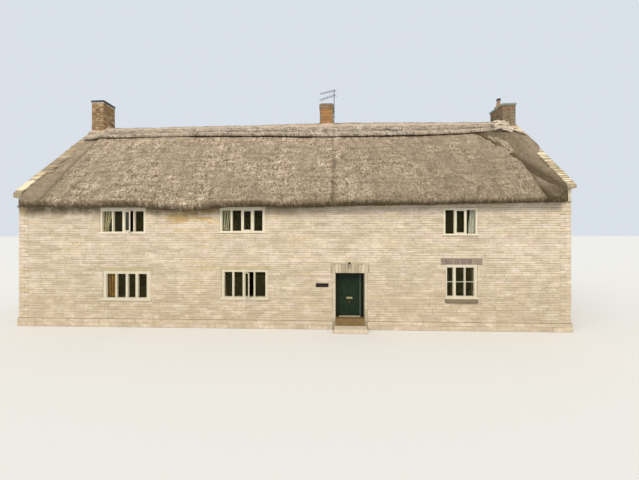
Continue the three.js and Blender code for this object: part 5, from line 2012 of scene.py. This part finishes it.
# A thin pale strip beside the leaf's right edge is a painted highlight, where the edge catches the light.
lit_edge_paint = paint_finish("oil paint on timber, pale as a painted highlight", "#8f9a90", "#6f7a70")
blocks(
    "door_frame_lit_edge",
    [(3.1965, -3.374, 0.452, 3.2125, -3.3695, 2.3)],
    lit_edge_paint, 214, model=SHEET_OF_GLASS, wander=0,
)

# %% [markdown]
# ## Steps and what hangs by the door
# Two steps lead up to the door. The upper one is a worn block of brown stone with a paler edge
# at the sill, the lower one a broad pale slab. A small dark board hangs on the wall at the left,
# and a lantern over the arch.

# %% Worn steps
bpy.ops.mesh.primitive_cube_add(size=1)
tread = bpy.context.object
edit()
bpy.ops.mesh.bevel(offset=0.02, affect="EDGES", segments=2)
bpy.ops.mesh.select_all(action="SELECT")
bpy.ops.transform.vertex_random(offset=0.002, seed=3)
edit("OBJECT")
WORN_TREAD = take_model(tread)

brown_stone = stone_finish(
    "sandstone step, brown",
    bed=("#675334", "#76603b", "#836b45"),
    stain="#54442c", drift=0.1,
)
step_stone = stone_finish(
    "limestone step, worn pale",
    bed=("#cfbea5", "#dccdb7", "#e6d8c4"),
    stain="#b6a58c", drift=0.1,
)
upper = blocks(
    "door_step_upper",
    [(2.1305, -3.762, 0.0, 3.3595, -3.1505, 0.4495)],
    brown_stone, 221, model=WORN_TREAD, wander=0,
)
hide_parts("door_threshold")
lower = blocks(
    "door_step_lower",
    [(2.06, -4.262, 0.0, 3.42, -3.764, 0.17)],
    step_stone, 222, model=WORN_TREAD, wander=0.004,
)
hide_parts("lower_step")
blocks(
    "door_sill_board",
    [(2.2815, -3.4, 0.4505, 3.2085, -3.3015, 0.472)],
    pale_stone, 223, model=TIMBER, wander=0,
)

# %% Name board and lantern
dark_board = paint_finish("oak board, nearly black", "#1f1a14", "#29231b", roughness=0.6, gloss=0.15)
board = plate(
    "house_board", (1.565, -3.7245, 1.88), (0.53, 0.022, 0.16), 0.005,
    ((0.015, 0.0), (0.003, -0.004)), dark_board,
)
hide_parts("name_board")
rods(
    "board_screws",
    [(x, -3.738, 1.88, x, -3.73, 1.88) for x in (1.325, 1.805)],
    0.006, dull_brass,
)

lamp_glass = new_material("lamp glass, frosted", {"Base Color": "#a9a89c", "Roughness": 0.4})
lantern = [
    (2.68, -3.72, 2.74, 2.76, -3.7003, 2.86),
    (2.705, -3.81, 2.803, 2.735, -3.712, 2.818),
    (2.675, -3.85, 2.78, 2.765, -3.77, 2.805),
    (2.675, -3.85, 2.7, 2.765, -3.77, 2.712),
]
lantern += [(x, y, 2.708, x + 0.009, y + 0.009, 2.785) for x in (2.677, 2.754) for y in (-3.848, -3.781)]
lamp = blocks("lantern_case", lantern, dark_iron, 224, model=SHEET_OF_GLASS, wander=0)
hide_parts("door_lamp")
blocks(
    "lantern_panes",
    [(2.682, -3.843, 2.712, 2.758, -3.777, 2.78)],
    lamp_glass, 225, model=SHEET_OF_GLASS, wander=0,
)

# %% [markdown]
# ## Floors and inner walls
# Through the windows and the open door a boarded upper floor and a stone-flagged ground floor
# can be seen. Boards run along the house in random lengths, and flags are laid in rows.

# %% Boards and flags
floorboards = new_material("pine boards, waxed", {"Roughness": 0.6})
place = add(floorboards, "TexCoord", out="Object")
board_tone = add(floorboards, "Attribute", out="Fac", attribute_name="tone")
board_colour = add(floorboards, "ValToRGB", {0: board_tone}, stops=("#4a3524", "#664a31"))
grain = drawn_out(floorboards, place, (4, 60, 60), 4)
grain_tone = add(floorboards, "ValToRGB", {0: grain}, stops=((0.3, "#c9c0b4"), (0.7, "#ffffff")))
board_colour = add(floorboards, "Mix", {0: 1.0, 6: board_colour, 7: grain_tone}, 2, data_type="RGBA",
                   blend_type="MULTIPLY")
shade(floorboards, {"Base Color": board_colour})
roughen(floorboards, (grain, 0.001))
flagstone = stone_finish(
    "limestone flags, worn",
    bed=("#8f8672", "#a1977f", "#b1a78e"),
    stain="#7d745f", drift=0.1, relief=0.002,
)


def floor_rows(x0, x1, y0, y1, width, lengths, seed):
    """Left, near, right and far edge of boards or flags in rows along the house."""
    rng = np.random.default_rng(seed)
    pieces = []
    for near in np.arange(y0, y1 - 0.02, width):
        far = min(near + width, y1)
        joint = x0
        while joint < x1 - 0.01:
            end = min(joint + rng.uniform(*lengths), x1)
            pieces.append((joint + 0.0015, near + 0.0015, end - 0.0015, far - 0.0015))
            joint = end
    return pieces


# %% Floors round the chimney stacks
INNER = (-11.35, 11.35, -3.14, 3.14)  # left, right, front and rear edge of both floors


def meets_stack(left, near, right, far):
    """Whether a board or flag comes within 10 mm of a chimney stack."""
    return any(
        right > x0 - 0.01 and left < x1 + 0.01 and far > y0 - 0.01 and near < y1 + 0.01
        for x0, x1, y0, y1 in (LEFT_FOOT, MIDDLE, RIGHT_FOOT)
    )


for name, low, high, width, lengths, material, slot, seed in (
    ("upper_floor_boards", 2.948, 2.958, 0.2, (2.4, 4.8), floorboards, "floor_board", 231),
    ("ground_floor_flags", 0.445, 0.4545, 0.6, (0.5, 0.9), flagstone, "flagstone", 233),
):
    rows = [row for row in floor_rows(*INNER, width, lengths, seed) if not meets_stack(*row)]
    boxes = [(left, near, low, right, far, high) for left, near, right, far in rows]
    blocks(name, boxes, material, seed + 1, model=TIMBER, wander=0)
finish_nodes(("upper_floor",), floorboards)
finish_nodes(("ground_floor",), mortar)

# %% [markdown]
# ## Size
# The box of the dressed house is measured.

# %% Measure the dressed house
low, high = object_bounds()
